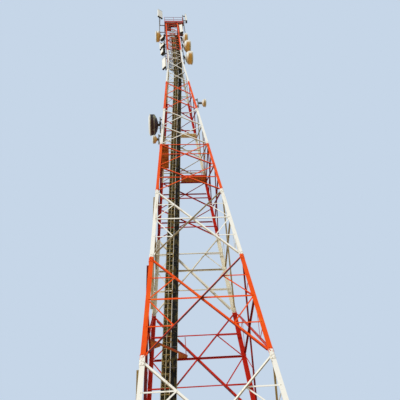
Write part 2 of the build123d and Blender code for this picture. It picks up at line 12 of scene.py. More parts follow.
import bmesh
import bpy
from bpy.types import Material, Node, NodeSocket, NodeTree, Object
from mathutils import Matrix, Vector


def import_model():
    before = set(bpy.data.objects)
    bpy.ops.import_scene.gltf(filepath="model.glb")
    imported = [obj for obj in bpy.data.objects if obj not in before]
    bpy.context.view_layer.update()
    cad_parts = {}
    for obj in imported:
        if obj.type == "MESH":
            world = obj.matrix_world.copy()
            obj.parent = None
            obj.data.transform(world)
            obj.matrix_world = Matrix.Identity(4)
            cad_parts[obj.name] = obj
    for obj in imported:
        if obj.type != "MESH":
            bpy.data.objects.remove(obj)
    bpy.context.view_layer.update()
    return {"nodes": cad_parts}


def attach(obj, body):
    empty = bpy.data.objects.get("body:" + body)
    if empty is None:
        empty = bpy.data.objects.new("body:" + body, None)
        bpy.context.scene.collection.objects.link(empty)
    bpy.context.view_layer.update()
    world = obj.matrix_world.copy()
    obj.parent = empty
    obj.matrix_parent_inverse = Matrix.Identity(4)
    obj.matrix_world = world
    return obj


LOG = logging.getLogger("tower")
BODY = "root"
MM = 0.001
SEED = 20
# Direction to the key light, which the painted light of the finishes also follows: from the left of the near face,
# above it
KEY_LIGHT_SIDE = Vector((-0.62, -0.62, 0.48)).normalized()
# Where the finishes paint shade: below, and a little away from the key light
PAINTED_SHADE_SIDE = Vector((0.28, 0.08, -0.95)).normalized()
# Length of one band of a wave texture at scale 1
WAVE_LENGTH = 0.314
# Paint borders of the tower, from the foot up
BORDERS_MM = (0.0, 2500.0, 5000.0, 7500.0, 10000.0, 12500.0, 15000.0, 17500.0, 21250.0, 25000.0)


def linear(hex_colour: str) -> tuple[float, ...]:
    """Turns an sRGB hex colour into linear light.

    Args:
        hex_colour: Colour such as "#E8491D".

    Returns:
        Red, green, blue and an alpha of one.
    """
    parts = [int(hex_colour[start : start + 2], 16) / 255 for start in (1, 3, 5)]
    light = [part / 12.92 if part <= 0.04045 else ((part + 0.055) / 1.055) ** 2.4 for part in parts]
    return (*light, 1.0)


def feed(tree: NodeTree, node: Node, inputs: dict) -> None:
    """Fills or links a node's sockets.

    Args:
        tree: The node's tree.
        node: The node.
        inputs: Socket name or index, with a value or the output socket that feeds it.
    """
    for socket, value in inputs.items():
        if isinstance(value, NodeSocket):
            tree.links.new(value, node.inputs[socket])
        else:
            node.inputs[socket].default_value = value


def add_node(tree: NodeTree, kind: str, inputs: dict, result: int | str = 0, **options: object) -> NodeSocket | None:
    """Adds a shader node, sets its options and feeds it.

    Args:
        tree: Node tree that gets the node.
        kind: Node type, such as "Mix".
        inputs: Socket name or index, with a value or the output socket that feeds it.
        result: Name or index of the output that is wanted.
        options: Values of the node's own properties.

    Returns:
        The wanted output, or None where the node has none.
    """
    node = tree.nodes.new("ShaderNode" + kind)
    for name, value in options.items():
        setattr(node, name, value)
    feed(tree, node, inputs)
    return node.outputs[result] if node.outputs else None


class Pattern(Enum):
    """Ways in which a second colour lies on a surface; the last three are painted light and shade."""

    CLOUDS = "broad soft patches"
    STREAKS = "runs that follow rain down the surface"
    CLUMPS = "patches a little taller than wide"
    FRECKLES = "small separate spots"
    CELLS = "flat crystal cells"
    # Painted light and painted shade: the side facing the key light, faces that look down, faces turned to the tower's
    # middle
    PAINTED_LIGHT = "the side that the sun reaches"
    SHADED_UNDERSIDE = "faces that look down"
    INSIDE = "faces turned to the tower's middle"


CLOUDS, STREAKS, CLUMPS, FRECKLES, CELLS, PAINTED_LIGHT, SHADED_UNDERSIDE, INSIDE = Pattern
STRETCH = {STREAKS: (1.0, 1.0, 0.07), CLUMPS: (1.0, 1.0, 0.35)}
SIDES = {PAINTED_LIGHT: KEY_LIGHT_SIDE, SHADED_UNDERSIDE: PAINTED_SHADE_SIDE}


@dataclass(frozen=True)
class Layer:
    """A second colour over a finish: what it is, how large its marks are and how much they cover."""

    colour: str
    pattern: Pattern
    size_mm: float
    cover: float
    soft: float
    strength: float = 1.0

    def mask(self, tree: NodeTree, place: NodeSocket) -> NodeSocket:
        """Builds the layer's mask.

        Args:
            tree: The material's node tree.
            place: Object coordinates, whose upright axis is the tower's.

        Returns:
            A socket that is 0 where the layer is absent and its strength where it lies.
        """
        marks = {"Vector": place, "Scale": 1.0 / (self.size_mm * MM)}
        # Painted light and shade: a face's turn towards the key light, downwards or towards the tower's middle sets the
        # mask
        if self.pattern in (PAINTED_LIGHT, SHADED_UNDERSIDE, INSIDE):
            toward = SIDES.get(self.pattern)
            if toward is None:
                level = add_node(tree, "VectorMath", {0: place, 1: (-1.0, -1.0, 0.0)}, operation="MULTIPLY")
                toward = add_node(tree, "VectorMath", {0: level}, operation="NORMALIZE")
            normal = add_node(tree, "NewGeometry", {}, "Normal")
            dot = add_node(tree, "VectorMath", {0: normal, 1: toward}, "Value", operation="DOT_PRODUCT")
            ripple = add_node(tree, "TexNoise", marks)
            fac = add_node(tree, "Math", {0: ripple, 1: 0.5, 2: dot}, operation="MULTIPLY_ADD")
            threshold = 0.9 - self.cover
        elif self.pattern is CELLS:
            fac = add_node(tree, "SeparateColor", {"Color": add_node(tree, "TexVoronoi", marks, "Color")})
            threshold = 0.5
        else:
            stretch = {"Vector": place, "Scale": STRETCH.get(self.pattern, (1.0, 1.0, 1.0))}
            marks["Vector"] = add_node(tree, "Mapping", stretch)
            detail = 6.0 if self.pattern is FRECKLES else 3.0
            fac = add_node(tree, "TexNoise", {**marks, "Detail": detail, "Roughness": 0.6})
            threshold = 0.72 - 0.44 * self.cover
        edge = {"From Min": threshold - self.soft, "From Max": threshold + self.soft, "To Max": self.strength}
        return add_node(tree, "MapRange", {"Value": fac, **edge}, interpolation_type="SMOOTHSTEP")


@dataclass(frozen=True)
class Finish:
    """A surface as it was made and has aged, with painted light and shade in some layers: its colour, the layers over
    it and its relief.
    """

    name: str
    colour: str
    roughness: float
    specular: float
    grain_mm: float
    layers: tuple[Layer, ...] = ()
    metallic: float = 0.0
    grain_depth_mm: float = 0.1
    ribs_mm: float = 0.0
    lozenge_mm: float = 0.0

    def tone(self, tree: NodeTree, place: NodeSocket) -> NodeSocket | tuple[float, ...]:
        """Lays the layers over the finish's own colour.

        Args:
            tree: The material's node tree.
            place: Object coordinates.

        Returns:
            The socket that carries the colour, or the plain colour.
        """
        colour = linear(self.colour)
        for layer in self.layers:
            pair = {"Factor": layer.mask(tree, place), "A": colour, "B": linear(layer.colour)}
            colour = add_node(tree, "Mix", pair, "Result", data_type="RGBA")
        return colour

    def relief(self, tree: NodeTree, place: NodeSocket, grain: NodeSocket) -> NodeSocket:
        """Adds the grain, the rings of a corrugated jacket and the lozenges of chequer plate.

        Args:
            tree: The material's node tree.
            place: Object coordinates.
            grain: The grain's pattern.

        Returns:
            The socket that carries the bumped normal.
        """
        normal = add_node(tree, "Bump", {"Height": grain, "Distance": self.grain_depth_mm * MM, "Strength": 0.6})
        if self.ribs_mm:
            rings = {"Vector": place, "Scale": WAVE_LENGTH / (self.ribs_mm * MM)}
            wave = add_node(tree, "TexWave", rings, "Fac", wave_type="BANDS", bands_direction="Z")
            normal = add_node(tree, "Bump", {"Height": wave, "Distance": 0.6 * MM, "Normal": normal})
        if self.lozenge_mm:
            cells = {"Scale": 1.0 / (self.lozenge_mm * MM), "Randomness": 0.0}
            heights = []
            for degrees in (45.0, -45.0):
                turned = {"Vector": place, "Rotation": (0, 0, math.radians(degrees)), "Scale": (0.35, 1.0, 0.0)}
                heights.append(add_node(tree, "TexVoronoi", {"Vector": add_node(tree, "Mapping", turned), **cells}))
            lowest = add_node(tree, "Math", dict(enumerate(heights)), operation="MINIMUM")
            edge = {"Value": lowest, "From Min": 0.1, "From Max": 0.2, "To Min": 1.0, "To Max": 0.0}
            raised = add_node(tree, "MapRange", edge)
            normal = add_node(tree, "Bump", {"Height": raised, "Distance": MM, "Normal": normal})
        return normal

    def material(self) -> Material:
        """Builds the finish as a node material.

        Returns:
            The new material.
        """
        made = bpy.data.materials.new(self.name)
        made.use_nodes = True
        tree = made.node_tree
        place = add_node(tree, "TexCoord", {}, "Object")
        grain = add_node(tree, "TexNoise", {"Vector": place, "Scale": 1.0 / (self.grain_mm * MM), "Detail": 4.0})
        spread = {"From Min": 0.3, "From Max": 0.7, "To Min": self.roughness - 0.075, "To Max": self.roughness + 0.075}
        surface = {
            "Base Color": self.tone(tree, place),
            "Roughness": add_node(tree, "MapRange", {"Value": grain, **spread}),
            "Normal": self.relief(tree, place, grain),
            "Metallic": self.metallic,
            "Specular IOR Level": self.specular,
        }
        feed(tree, tree.nodes["Principled BSDF"], surface)
        return made


@dataclass(frozen=True)
class Banded(Finish):
    """Two enamels that change at the tower's paint borders, for parts that lie across one."""

    other: Finish | None = None

    def tone(self, tree: NodeTree, place: NodeSocket) -> NodeSocket:
        """Mixes the two enamels by height.

        Args:
            tree: The material's node tree.
            place: Object coordinates.

        Returns:
            The socket that carries the colour.
        """
        top = BORDERS_MM[-1]
        height = add_node(tree, "SeparateXYZ", {0: place}, "Z")
        bands = add_node(tree, "ValToRGB", {"Fac": add_node(tree, "MapRange", {"Value": height, "From Max": top * MM})})
        ramp = bands.node.color_ramp
        ramp.interpolation = "CONSTANT"
        for index, border in enumerate(BORDERS_MM[:-1]):
            stop = ramp.elements[index] if index < 2 else ramp.elements.new(border / top)
            stop.position = border / top
            stop.color = (*[float(index % 2)] * 3, 1.0)
        pair = {"Factor": bands, "A": super().tone(tree, place), "B": self.other.tone(tree, place)}
        return add_node(tree, "Mix", pair, "Result", data_type="RGBA")


# Alkyd enamel brushed over galvanised angles: deep red as painted shade away from the key light, orange painted light
# on the side facing it, red painted shade on faces turned to the tower's middle and dark painted shade on faces that
# look down
RED = Finish("alkyd_enamel_signal_red", "#B0160C", 0.45, 0.16, 8.0, (
    Layer("#F7560A", PAINTED_LIGHT, 260.0, 0.62, 0.30),
    Layer("#FF7C22", CLOUDS, 420.0, 0.30, 0.10, 0.40),
    Layer("#C00F14", INSIDE, 300.0, 0.52, 0.25, 0.80),
    Layer("#6E0E10", SHADED_UNDERSIDE, 200.0, 0.24, 0.25, 0.90),
    Layer("#7A2A18", STREAKS, 60.0, 0.18, 0.07, 0.50),
    Layer("#4A2014", FRECKLES, 26.0, 0.08, 0.05, 0.7),
))
# The same enamel in white: cream, nearly white as painted light on the side facing the key light, duller cream as
# painted shade on faces turned to the tower's middle, ochre painted shade on faces that look down, and ochre rain marks
WHITE = Finish("alkyd_enamel_cream_white", "#D2C79C", 0.42, 0.3, 8.0, (
    Layer("#FDFBF0", PAINTED_LIGHT, 260.0, 0.62, 0.30),
    Layer("#D8CDA4", INSIDE, 300.0, 0.50, 0.25, 0.45),
    Layer("#9A7E3A", SHADED_UNDERSIDE, 200.0, 0.28, 0.25, 0.95),
    Layer("#B79F63", STREAKS, 60.0, 0.18, 0.07, 0.45),
    Layer("#7C4E2A", FRECKLES, 26.0, 0.08, 0.05, 0.65),
))
FINISHES: dict[str, Finish] = {
    "red": RED,
    "white": WHITE,
    # Plates over a paint border carry both enamels, with their painted light and shade
    "banded": Banded("alkyd_enamel_over_a_paint_border", RED.colour, 0.45, 0.22, 8.0, RED.layers, other=WHITE),
    # Deep red enamel of the head frame, and of the flats under the rising diagonals, where it is painted shade;
    # brighter red painted light on the side facing the key light and darker painted shade below
    "deep_red": Finish("alkyd_enamel_deep_red", "#86100C", 0.5, 0.25, 8.0, (
        Layer("#B4220E", PAINTED_LIGHT, 240.0, 0.55, 0.35),
        Layer("#54100E", SHADED_UNDERSIDE, 200.0, 0.25, 0.25, 0.9),
        Layer("#6E2C1A", STREAKS, 60.0, 0.25, 0.08, 0.6),
        Layer("#D9C7A0", FRECKLES, 34.0, 0.10, 0.04, 0.5),
    )),
    # Hot-dip zinc gone dull and dark, with run-off in its crystal pattern and brown painted shade on faces that look
    # down
    "zinc": Finish("hot_dip_galvanised_steel", "#6B665E", 0.55, 0.5, 5.0, (
        Layer("#96918A", CELLS, 14.0, 0.5, 0.4, 0.6),
        Layer("#4C3A30", SHADED_UNDERSIDE, 120.0, 0.30, 0.25, 0.7),
        Layer("#6A5634", STREAKS, 60.0, 0.35, 0.12, 0.6),
        Layer("#7A4322", FRECKLES, 22.0, 0.12, 0.05, 0.6),
    ), metallic=0.35),
    # Stainless straps and bright zinc bolts that have kept their shine, paler as painted light on the side facing the
    # key light
    "bright_zinc": Finish("bright_zinc_plate", "#A59B7C", 0.4, 0.5, 3.0, (
        Layer("#DDD4B4", PAINTED_LIGHT, 80.0, 0.6, 0.3, 0.8),
        Layer("#85703E", CLOUDS, 30.0, 0.40, 0.12, 0.75),
    ), metallic=0.4),
    # Ladder and tray steel under years of ochre dust and run-off, paler as painted light on the side facing the key
    # light
    "dusty_zinc": Finish("galvanised_steel_under_dust", "#8E7538", 0.62, 0.3, 5.0, (
        Layer("#CDB573", PAINTED_LIGHT, 200.0, 0.6, 0.35, 0.85),
        Layer("#A8802C", CLUMPS, 46.0, 0.45, 0.10, 0.7),
        Layer("#453A20", CLUMPS, 34.0, 0.30, 0.06, 0.8),
        Layer("#6A3E1E", FRECKLES, 22.0, 0.18, 0.05, 0.7),
    ), metallic=0.15),
    # Moulded glass-fibre polyester: bright and matt, nearly white as painted light on the side facing the key light and
    # strong ochre as painted shade where it looks down
    "radome": Finish("glass_fibre_radome", "#E2DABB", 0.4, 0.35, 3.0, (
        Layer("#F8F6EA", PAINTED_LIGHT, 300.0, 0.62, 0.30),
        Layer("#D99A26", SHADED_UNDERSIDE, 260.0, 0.38, 0.20, 0.95),
        Layer("#C9B684", STREAKS, 45.0, 0.20, 0.10, 0.4),
    ), grain_depth_mm=0.04),
    # Taut coated cloth of the dish covers, chalk white, whiter as painted light towards the key light and ochre as
    # painted shade below
    "cover": Finish("coated_cloth_dish_cover", "#E4DFCB", 0.6, 0.25, 2.0, (
        Layer("#F8F7EE", PAINTED_LIGHT, 300.0, 0.62, 0.30),
        Layer("#BCA468", SHADED_UNDERSIDE, 200.0, 0.25, 0.25, 0.8),
        Layer("#BDB08A", STREAKS, 45.0, 0.22, 0.10, 0.5),
    ), grain_depth_mm=0.06),
    # An older reflector shroud: near-black paint that stands for the shade on its back, maroon patches, maroon painted
    # shade on faces that look down and green-white patches of painted light
    "dark_shroud": Finish("dark_shroud_paint_with_painted_shade_and_light", "#15191C", 0.55, 0.25, 4.0, (
        Layer("#3A1512", SHADED_UNDERSIDE, 300.0, 0.40, 0.30, 0.8),
        Layer("#4C1B14", CLOUDS, 170.0, 0.34, 0.10, 0.7),
        Layer("#B4C09A", CLOUDS, 240.0, 0.17, 0.06, 0.8),
        Layer("#2E3530", STREAKS, 50.0, 0.30, 0.10, 0.6),
    )),
    # Black polyethylene jacket with its corrugation, a little lighter as painted light on the side facing the key light
    "jacket": Finish("polyethylene_cable_jacket", "#0D0C0B", 0.65, 0.1, 2.0, (
        Layer("#1A1C1B", PAINTED_LIGHT, 200.0, 0.50, 0.3, 0.7),
        Layer("#554A26", CLUMPS, 60.0, 0.40, 0.06, 0.8),
        Layer("#8C7A48", FRECKLES, 44.0, 0.14, 0.04, 0.7),
    ), ribs_mm=14.0),
    # Grey vinyl sheath of the thin control cables, nearly white as painted light on the side facing the key light
    "pale_jacket": Finish("vinyl_cable_sheath", "#9C9070", 0.6, 0.2, 2.0, (
        Layer("#D9D0AE", PAINTED_LIGHT, 200.0, 0.55, 0.3, 0.9),
        Layer("#4A3F26", CLUMPS, 60.0, 0.34, 0.06, 0.8),
    )),
    # Older feeders under ochre dust, lichen and splashes of both enamels
    "dusty_jacket": Finish("cable_jacket_under_dust", "#201D14", 0.7, 0.1, 2.0, (
        Layer("#9C8240", CLUMPS, 42.0, 0.48, 0.06, 0.9),
        Layer("#5E6130", CLUMPS, 58.0, 0.36, 0.06, 0.8),
        Layer("#0E0E0E", CLUMPS, 36.0, 0.40, 0.05, 0.9),
        Layer("#D8C894", FRECKLES, 40.0, 0.16, 0.04, 0.85),
        Layer("#8A3A1A", FRECKLES, 46.0, 0.12, 0.04, 0.8),
    ), ribs_mm=14.0),
    # Rolled chequer plate under red enamel, brighter red as painted light towards the key light and orange painted
    # shade on faces that look down
    "plate": Finish("enamelled_chequer_plate", "#8E2A12", 0.6, 0.25, 8.0, (
        Layer("#C2451F", PAINTED_LIGHT, 260.0, 0.6, 0.35, 0.8),
        Layer("#C46A1C", SHADED_UNDERSIDE, 180.0, 0.45, 0.20, 0.95),
        Layer("#6A3410", CLOUDS, 150.0, 0.36, 0.12, 0.6),
        Layer("#D8882A", CLOUDS, 90.0, 0.16, 0.06, 0.7),
        Layer("#3E2413", FRECKLES, 30.0, 0.2, 0.06, 0.7),
    ), lozenge_mm=22.0),
    # The upper walkway's plates: cream enamel, paler as painted light towards the key light and ochre as painted shade
    # on faces that look down
    "pale_plate": Finish("enamelled_chequer_plate_cream", "#DDD0A8", 0.6, 0.25, 8.0, (
        Layer("#F6F1DC", PAINTED_LIGHT, 260.0, 0.6, 0.35, 0.8),
        Layer("#E2C07E", SHADED_UNDERSIDE, 180.0, 0.45, 0.20, 0.95),
        Layer("#8A5A24", CLOUDS, 110.0, 0.30, 0.10, 0.7),
    ), lozenge_mm=22.0),
    # Steel grating of the top deck: chalky zinc with splashes of the red coat, paler as painted light towards the key
    # light
    "grating": Finish("galvanised_grating_with_red_overspray", "#C4B0A4", 0.6, 0.25, 8.0, (
        Layer("#E9DFD6", PAINTED_LIGHT, 120.0, 0.5, 0.3, 0.7),
        Layer("#A3261A", CLOUDS, 110.0, 0.36, 0.10, 0.85),
        Layer("#6E3A1C", FRECKLES, 40.0, 0.25, 0.06, 0.7),
    ), lozenge_mm=22.0),
    # Die-cast radio housing in a dark powder coat, lighter grey as painted light towards the key light
    "housing": Finish("dark_powder_coat", "#2A2E30", 0.55, 0.3, 2.0, (
        Layer("#4A4C48", PAINTED_LIGHT, 120.0, 0.5, 0.3, 0.7),
        Layer("#5C4A2A", CLUMPS, 50.0, 0.25, 0.08, 0.6),
    )),
    # Injection-moulded acrylic plastic of the end caps, brown with dust, pale as painted light towards the key light
    # and darker as painted shade on faces that look down
    "cap": Finish("moulded_grey_plastic", "#5C5142", 0.5, 0.3, 2.0, (
        Layer("#CFC8B0", PAINTED_LIGHT, 60.0, 0.5, 0.3, 0.8),
        Layer("#3A2A1C", SHADED_UNDERSIDE, 60.0, 0.4, 0.2, 0.9),
    )),
}
# The first part that a node's name holds gives its finish
NODE_FINISHES: dict[str, str] = {
    "top_platform_deck": "grating", "top_platform": "deep_red", "_red": "red", "_white": "white",
    "base_plates": "zinc", "climbing_ladder": "dusty_zinc", "cable_tray": "dusty_zinc",
    "ladder_supports": "banded", "rear_feeder_cables": "dusty_jacket", "feeder_cables": "jacket",
    "upper_walkway": "pale_plate", "_walk": "plate", "rest_landing": "plate", "radio_units": "housing",
    "platform_rails": "red", "antenna_poles": "zinc", "antenna_arms": "zinc", "panel_clamps": "zinc",
    "dish_mounts": "zinc", "panel_antennas": "radome", "dish_large": "dark_shroud", "dish_": "radome",
}


class Slot(Enum):
    """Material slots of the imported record."""

    RED = "red_paint"
    WHITE = "white_paint"
    STEEL = "galvanised_steel"
    RADOME = "radome"
    RADIO = "radio_housing"
    JACKET = "cable_jacket"


def take(*pieces: Object) -> None:
    """Leaves edit mode and makes some pieces, or none, the only selected ones.

    Args:
        pieces: The pieces, of which the first becomes the active one.
    """
    if bpy.context.object and bpy.context.object.mode != "OBJECT":
        bpy.ops.object.mode_set(mode="OBJECT")
    bpy.ops.object.select_all(action="DESELECT")
    for piece in pieces:
        piece.select_set(True)
    if pieces:
        bpy.context.view_layer.objects.active = pieces[0]


def model(add: Callable[..., object], **settings: object) -> Object:
    """Adds a shape with an operator and applies its place, turn and scale.

    Args:
        add: Operator that adds the shape.
        settings: The operator's settings, in metres.

    Returns:
        The new object.
    """
    take()
    add(**settings)
    bpy.ops.object.transform_apply(location=True, rotation=True, scale=True)
    return bpy.context.object


def shape(piece: Object, kind: str, chosen: Callable[[Vector, Vector], bool], tool: Callable[[], object]) -> Object:
    """Selects faces or edges of a piece by place and direction, and runs an edit-mode tool on them.

    Args:
        piece: The piece.
        kind: "FACE" or "EDGE".
        chosen: Test of a face's middle and normal, or an edge's middle and direction, in millimetres.
        tool: The operator call.

    Returns:
        The piece.
    """
    take(piece)
    bpy.ops.object.mode_set(mode="EDIT")
    bpy.ops.mesh.select_mode(type=kind)
    bpy.ops.mesh.select_all(action="DESELECT")
    grid = bmesh.from_edit_mesh(piece.data)
    if kind == "FACE":
        found = [face for face in grid.faces if chosen(face.calc_center_median() / MM, face.normal)]
    else:
        ends = [(edge, edge.verts[0].co, edge.verts[1].co) for edge in grid.edges]
        found = [edge for edge, a, b in ends if chosen((a + b) / 2 / MM, (b - a).normalized())]
    for part in found:
        part.select_set(True)
    bmesh.update_edit_mesh(piece.data)
    tool()
    bpy.ops.object.mode_set(mode="OBJECT")
    return piece


def everywhere(spot: Vector, way: Vector) -> bool:
    """Chooses all faces or edges."""
    return True


def looking_up(spot: Vector, way: Vector) -> bool:
    """Chooses faces that look up."""
    return way.z > 0.9


def looking_down(spot: Vector, way: Vector) -> bool:
    """Chooses faces that look down."""
    return way.z < -0.9


def inset(piece: Object, chosen: Callable[[Vector, Vector], bool], width: float, depth: float) -> Object:
    """Insets the chosen faces by a width and pushes them out by a depth, in millimetres."""
    return shape(piece, "FACE", chosen, lambda: bpy.ops.mesh.inset(thickness=width * MM, depth=depth * MM))


def bar(low: Sequence[float], high: Sequence[float], edge: float) -> Object:
    """Models a box with broken edges.

    Args:
        low: Lowest corner, in millimetres.
        high: Highest corner, in millimetres.
        edge: Width of the broken edges, in millimetres.

    Returns:
        The new object.
    """
    middle = [(a + b) / 2 * MM for a, b in zip(low, high)]
    size = [(b - a) * MM for a, b in zip(low, high)]
    made = model(bpy.ops.mesh.primitive_cube_add, size=1, location=middle, scale=size)
    return shape(made, "EDGE", everywhere, lambda: bpy.ops.mesh.bevel(offset=edge * MM, segments=1))


def drum(sides: int, radius: float, low: float, high: float, ends: str = "NGON") -> Object:
    """Models a plain upright cylinder.

    Args:
        sides: Number of sides.
        radius: Radius over the corners, in millimetres.
        low: Height of its foot.
        high: Height of its top.
        ends: "NGON" for closed ends or "NOTHING" for open ones.

    Returns:
        The new object.
    """
    size = {"radius": radius * MM, "depth": (high - low) * MM, "location": (0, 0, (low + high) / 2 * MM)}
    return model(bpy.ops.mesh.primitive_cylinder_add, vertices=sides, end_fill_type=ends, **size)


def disc(sides: int, radius: float, low: float, high: float, crown: float) -> Object:
    """Models an upright disc between two heights, whose top edge is turned down by its crown."""
    return inset(drum(sides, radius, low, high - crown), looking_up, crown, crown)


def ring(sides: int, inside: float, outside: float, low: float, high: float, edge: float) -> Object:
    """Models an upright ring with broken edges.

    Args:
        sides: Number of sides.
        inside: Radius of its bore over the flats, in millimetres.
        outside: Outer radius over the corners.
        low: Height of its foot.
        high: Height of its top.
        edge: Width of the broken edges.

    Returns:
        The new object.
    """
    made = drum(sides, outside, low, high, "NOTHING")
    wall = made.modifiers.new("wall", "SOLIDIFY")
    wall.thickness = (outside * math.cos(math.pi / sides) - inside) * MM
    wall.offset = -1
    bpy.ops.object.modifier_apply(modifier=wall.name)
    if edge:
        rim = made.modifiers.new("rim", "BEVEL")
        rim.width = edge * MM
        rim.segments = 1
        rim.limit_method = "ANGLE"
        rim.angle_limit = math.radians(60)
        bpy.ops.object.modifier_apply(modifier=rim.name)
    return made


def tube(points: Sequence[Sequence[float]], radius: float) -> Object:
    """Models a round cable that bends smoothly along a route.

    Args:
        points: Points of the route, in millimetres.
        radius: Radius of the cable.

    Returns:
        The new object, as a mesh.
    """
    take()
    bpy.ops.curve.primitive_nurbs_path_add()
    path = bpy.context.object.data
    path.splines.clear()
    line = path.splines.new("NURBS")
    line.points.add(len(points) - 1)
    for knot, point in zip(line.points, points):
        knot.co = (*(Vector(point) * MM), 1.0)
    line.order_u = 3
    line.use_endpoint_u = True
    path.resolution_u = 5
    path.bevel_depth = radius * MM
    path.bevel_resolution = 1
    path.use_fill_caps = True
    bpy.ops.object.convert(target="MESH")
    bpy.ops.object.transform_apply(location=True, rotation=True, scale=True)
    return bpy.context.object


def at(x: float, y: float, z: float) -> Matrix:
    """Place at a point, in millimetres."""
    return Matrix.Translation(Vector((x, y, z)) * MM)


def turn(degrees: float, axis: str) -> Matrix:
    """Turn about an axis."""
    return Matrix.Rotation(math.radians(degrees), 4, axis)


def moved(piece: Object, place: Matrix) -> Object:
    """Moves a piece's mesh and returns the piece."""
    piece.data.transform(place)
    return piece


def join(parts: Sequence[Object]) -> Object:
    """Joins objects into the first one.

    Args:
        parts: One or more objects.

    Returns:
        The joined object.
    """
    take(*parts)
    if len(parts) > 1:
        bpy.ops.object.join()
    return bpy.context.object


def put_away(models: Iterable[Object]) -> None:
    """Removes shapes that have been copied to all their places."""
    for used in dict.fromkeys(models):
        bpy.data.objects.remove(used)


def scatter(places: Sequence[tuple[Object, Matrix]], keep: bool = False) -> Object:
    """Copies shapes to their places, each copy with its own mesh, and joins the copies.

    Args:
        places: Each shape with a place that it is copied to.
        keep: Whether the shapes stay, for more places.

    Returns:
        The joined object.
    """
    copies = []
    for original, place in places:
        copy = original.copy()
        copy.data = original.data.copy()
        bpy.context.scene.collection.objects.link(copy)
        copies.append(moved(copy, place))
    if not keep:
        put_away(original for original, _ in places)
    return join(copies)


def fitted(parts: Sequence[Object], small: Object, spots: Iterable[Sequence[float]]) -> Object:
    """Joins parts with copies of a small part, such as a screw.

    Args:
        parts: The parts, which stay where they are.
        small: The small part.
        spots: Places of its copies, in millimetres.

    Returns:
        The joined object.
    """
    return scatter([*[(part, Matrix()) for part in parts], *[(small, at(*spot)) for spot in spots]])


@dataclass
class Paintshop:
    """Makes each finish once and dresses pieces in it."""

    made: dict[str, Material] = field(default_factory=dict)

    def dress(self, piece: Object, key: str) -> None:
        """Gives a piece one finish, whose material is made when it is first asked for.

        Args:
            piece: The piece.
            key: Name of the finish.
        """
        if key not in self.made:
            self.made[key] = FINISHES[key].material()
        piece.data.materials.clear()
        piece.data.materials.append(self.made[key])
        LOG.info("%s: %d faces in %s", piece.name, len(piece.data.polygons), key)

    def hand_over(self, name: str, parts: Sequence[Object], key: str, slot: Slot, smooth: float = 35.0) -> None:
        """Joins the parts of a finished piece, dresses it and fastens it to the tower.

        Args:
            name: Name of the piece.
            parts: Its parts, with their places in their meshes.
            key: Name of its finish.
            slot: Material slot of the record; not used.
            smooth: Angle in degrees below which edges are shaded smooth.
        """
        piece = join(parts)
        piece.name = name
        self.dress(piece, key)
        bpy.ops.object.shade_smooth_by_angle(angle=math.radians(smooth))
        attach(piece, BODY)


@dataclass(frozen=True)
class Pole:
    """An antenna pole: side of the tower, distances from the heel lines, foot, head and its brackets."""

    side: int
    outside: float
    inside: float
    foot: float
    head: float
    brackets: tuple[float, ...]


@dataclass(frozen=True)
class Unit:
    """A box on a pole: its pole, middle height, width, length, facing angle, distance and depth."""

    pole: str
    z: float
    width: float
    length: float
    facing: float
    gap: float
    deep: float


@dataclass(frozen=True)
class Dish:
    """A shrouded dish: its pole, height, distance of its middle from the pole, radius and depth."""

    pole: str
    z: float
    reach: float
    radius: float
    deep: float


POLES: dict[str, Pole] = {
    "left_mast": Pole(-1, 310.0, 30.0, 23500.0, 27150.0, (23700.0, 24750.0)),
    "left_upper": Pole(-1, 100.0, 30.0, 20550.0, 23450.0, (20900.0, 22050.0, 23300.0)),
    "left_middle": Pole(-1, 84.0, 22.0, 19000.0, 20450.0, (19100.0, 20250.0)),
    "left_lower": Pole(-1, 52.0, 38.0, 13350.0, 14350.0, (13500.0, 14200.0)),
    "left_low": Pole(-1, 53.0, 42.0, 12600.0, 13150.0, (12680.0, 13070.0)),
    "right_mast": Pole(1, 300.0, 30.0, 23300.0, 26450.0, (23420.0, 24800.0)),
    "right_inner": Pole(1, 150.0, 30.0, 23500.0, 24740.0, (23560.0, 24640.0)),
    "right_upper": Pole(1, 65.0, 30.0, 19700.0, 23100.0, (19820.0, 21200.0, 22950.0)),
    "right_low": Pole(1, 77.0, 38.0, 15250.0, 15900.0, (15330.0, 15820.0)),
}
ANTENNAS: tuple[Unit, ...] = (
    Unit("left_mast", 26370.0, 280.0, 1180.0, 300.0, 34.0, 70.0),
    Unit("left_upper", 22050.0, 90.0, 800.0, 150.0, 163.0, 70.0),
    Unit("left_middle", 19550.0, 200.0, 1030.0, 225.0, 34.0, 70.0),
    Unit("right_inner", 24000.0, 160.0, 1100.0, 250.0, 34.0, 70.0),
    Unit("right_mast", 25900.0, 150.0, 1080.0, 0.0, 110.0, 70.0),
)
RADIOS: tuple[Unit, ...] = (
    Unit("left_upper", 22620.0, 220.0, 260.0, 225.0, 30.0, 120.0),
    Unit("left_upper", 21610.0, 200.0, 250.0, 225.0, 30.0, 120.0),
    Unit("left_upper", 20900.0, 180.0, 420.0, 215.0, 30.0, 120.0),
)
DISHES: dict[str, Dish] = {
    "dish_large": Dish("left_lower", 13850.0, 200.0, 345.0, 280.0),
    "dish_left_low": Dish("left_low", 12870.0, 115.0, 130.0, 130.0),
    "dish_left_top": Dish("left_upper", 23080.0, 270.0, 260.0, 250.0),
    "dish_right_top": Dish("right_upper", 22740.0, 165.0, 280.0, 240.0),
    "dish_right_middle": Dish("right_upper", 21800.0, 205.0, 280.0, 320.0),
    "dish_right_lower": Dish("right_upper", 20400.0, 215.0, 290.0, 320.0),
    "dish_right_low": Dish("right_low", 15570.0, 210.0, 140.0, 140.0),
}


@dataclass(frozen=True)
class CableRow:
    """A rack and its row of feeders: edge from the heel line, width, feeders and their depth in the face."""

    edge: float
    width: float
    count: int
    depth: float
    margin: float = 6.0

    def line(self, index: float) -> float:
        """Distance of a feeder, counted from the edge, from the heel line."""
        return self.edge + self.margin / 2 + (index + 0.5) * (self.width - self.margin) / self.count


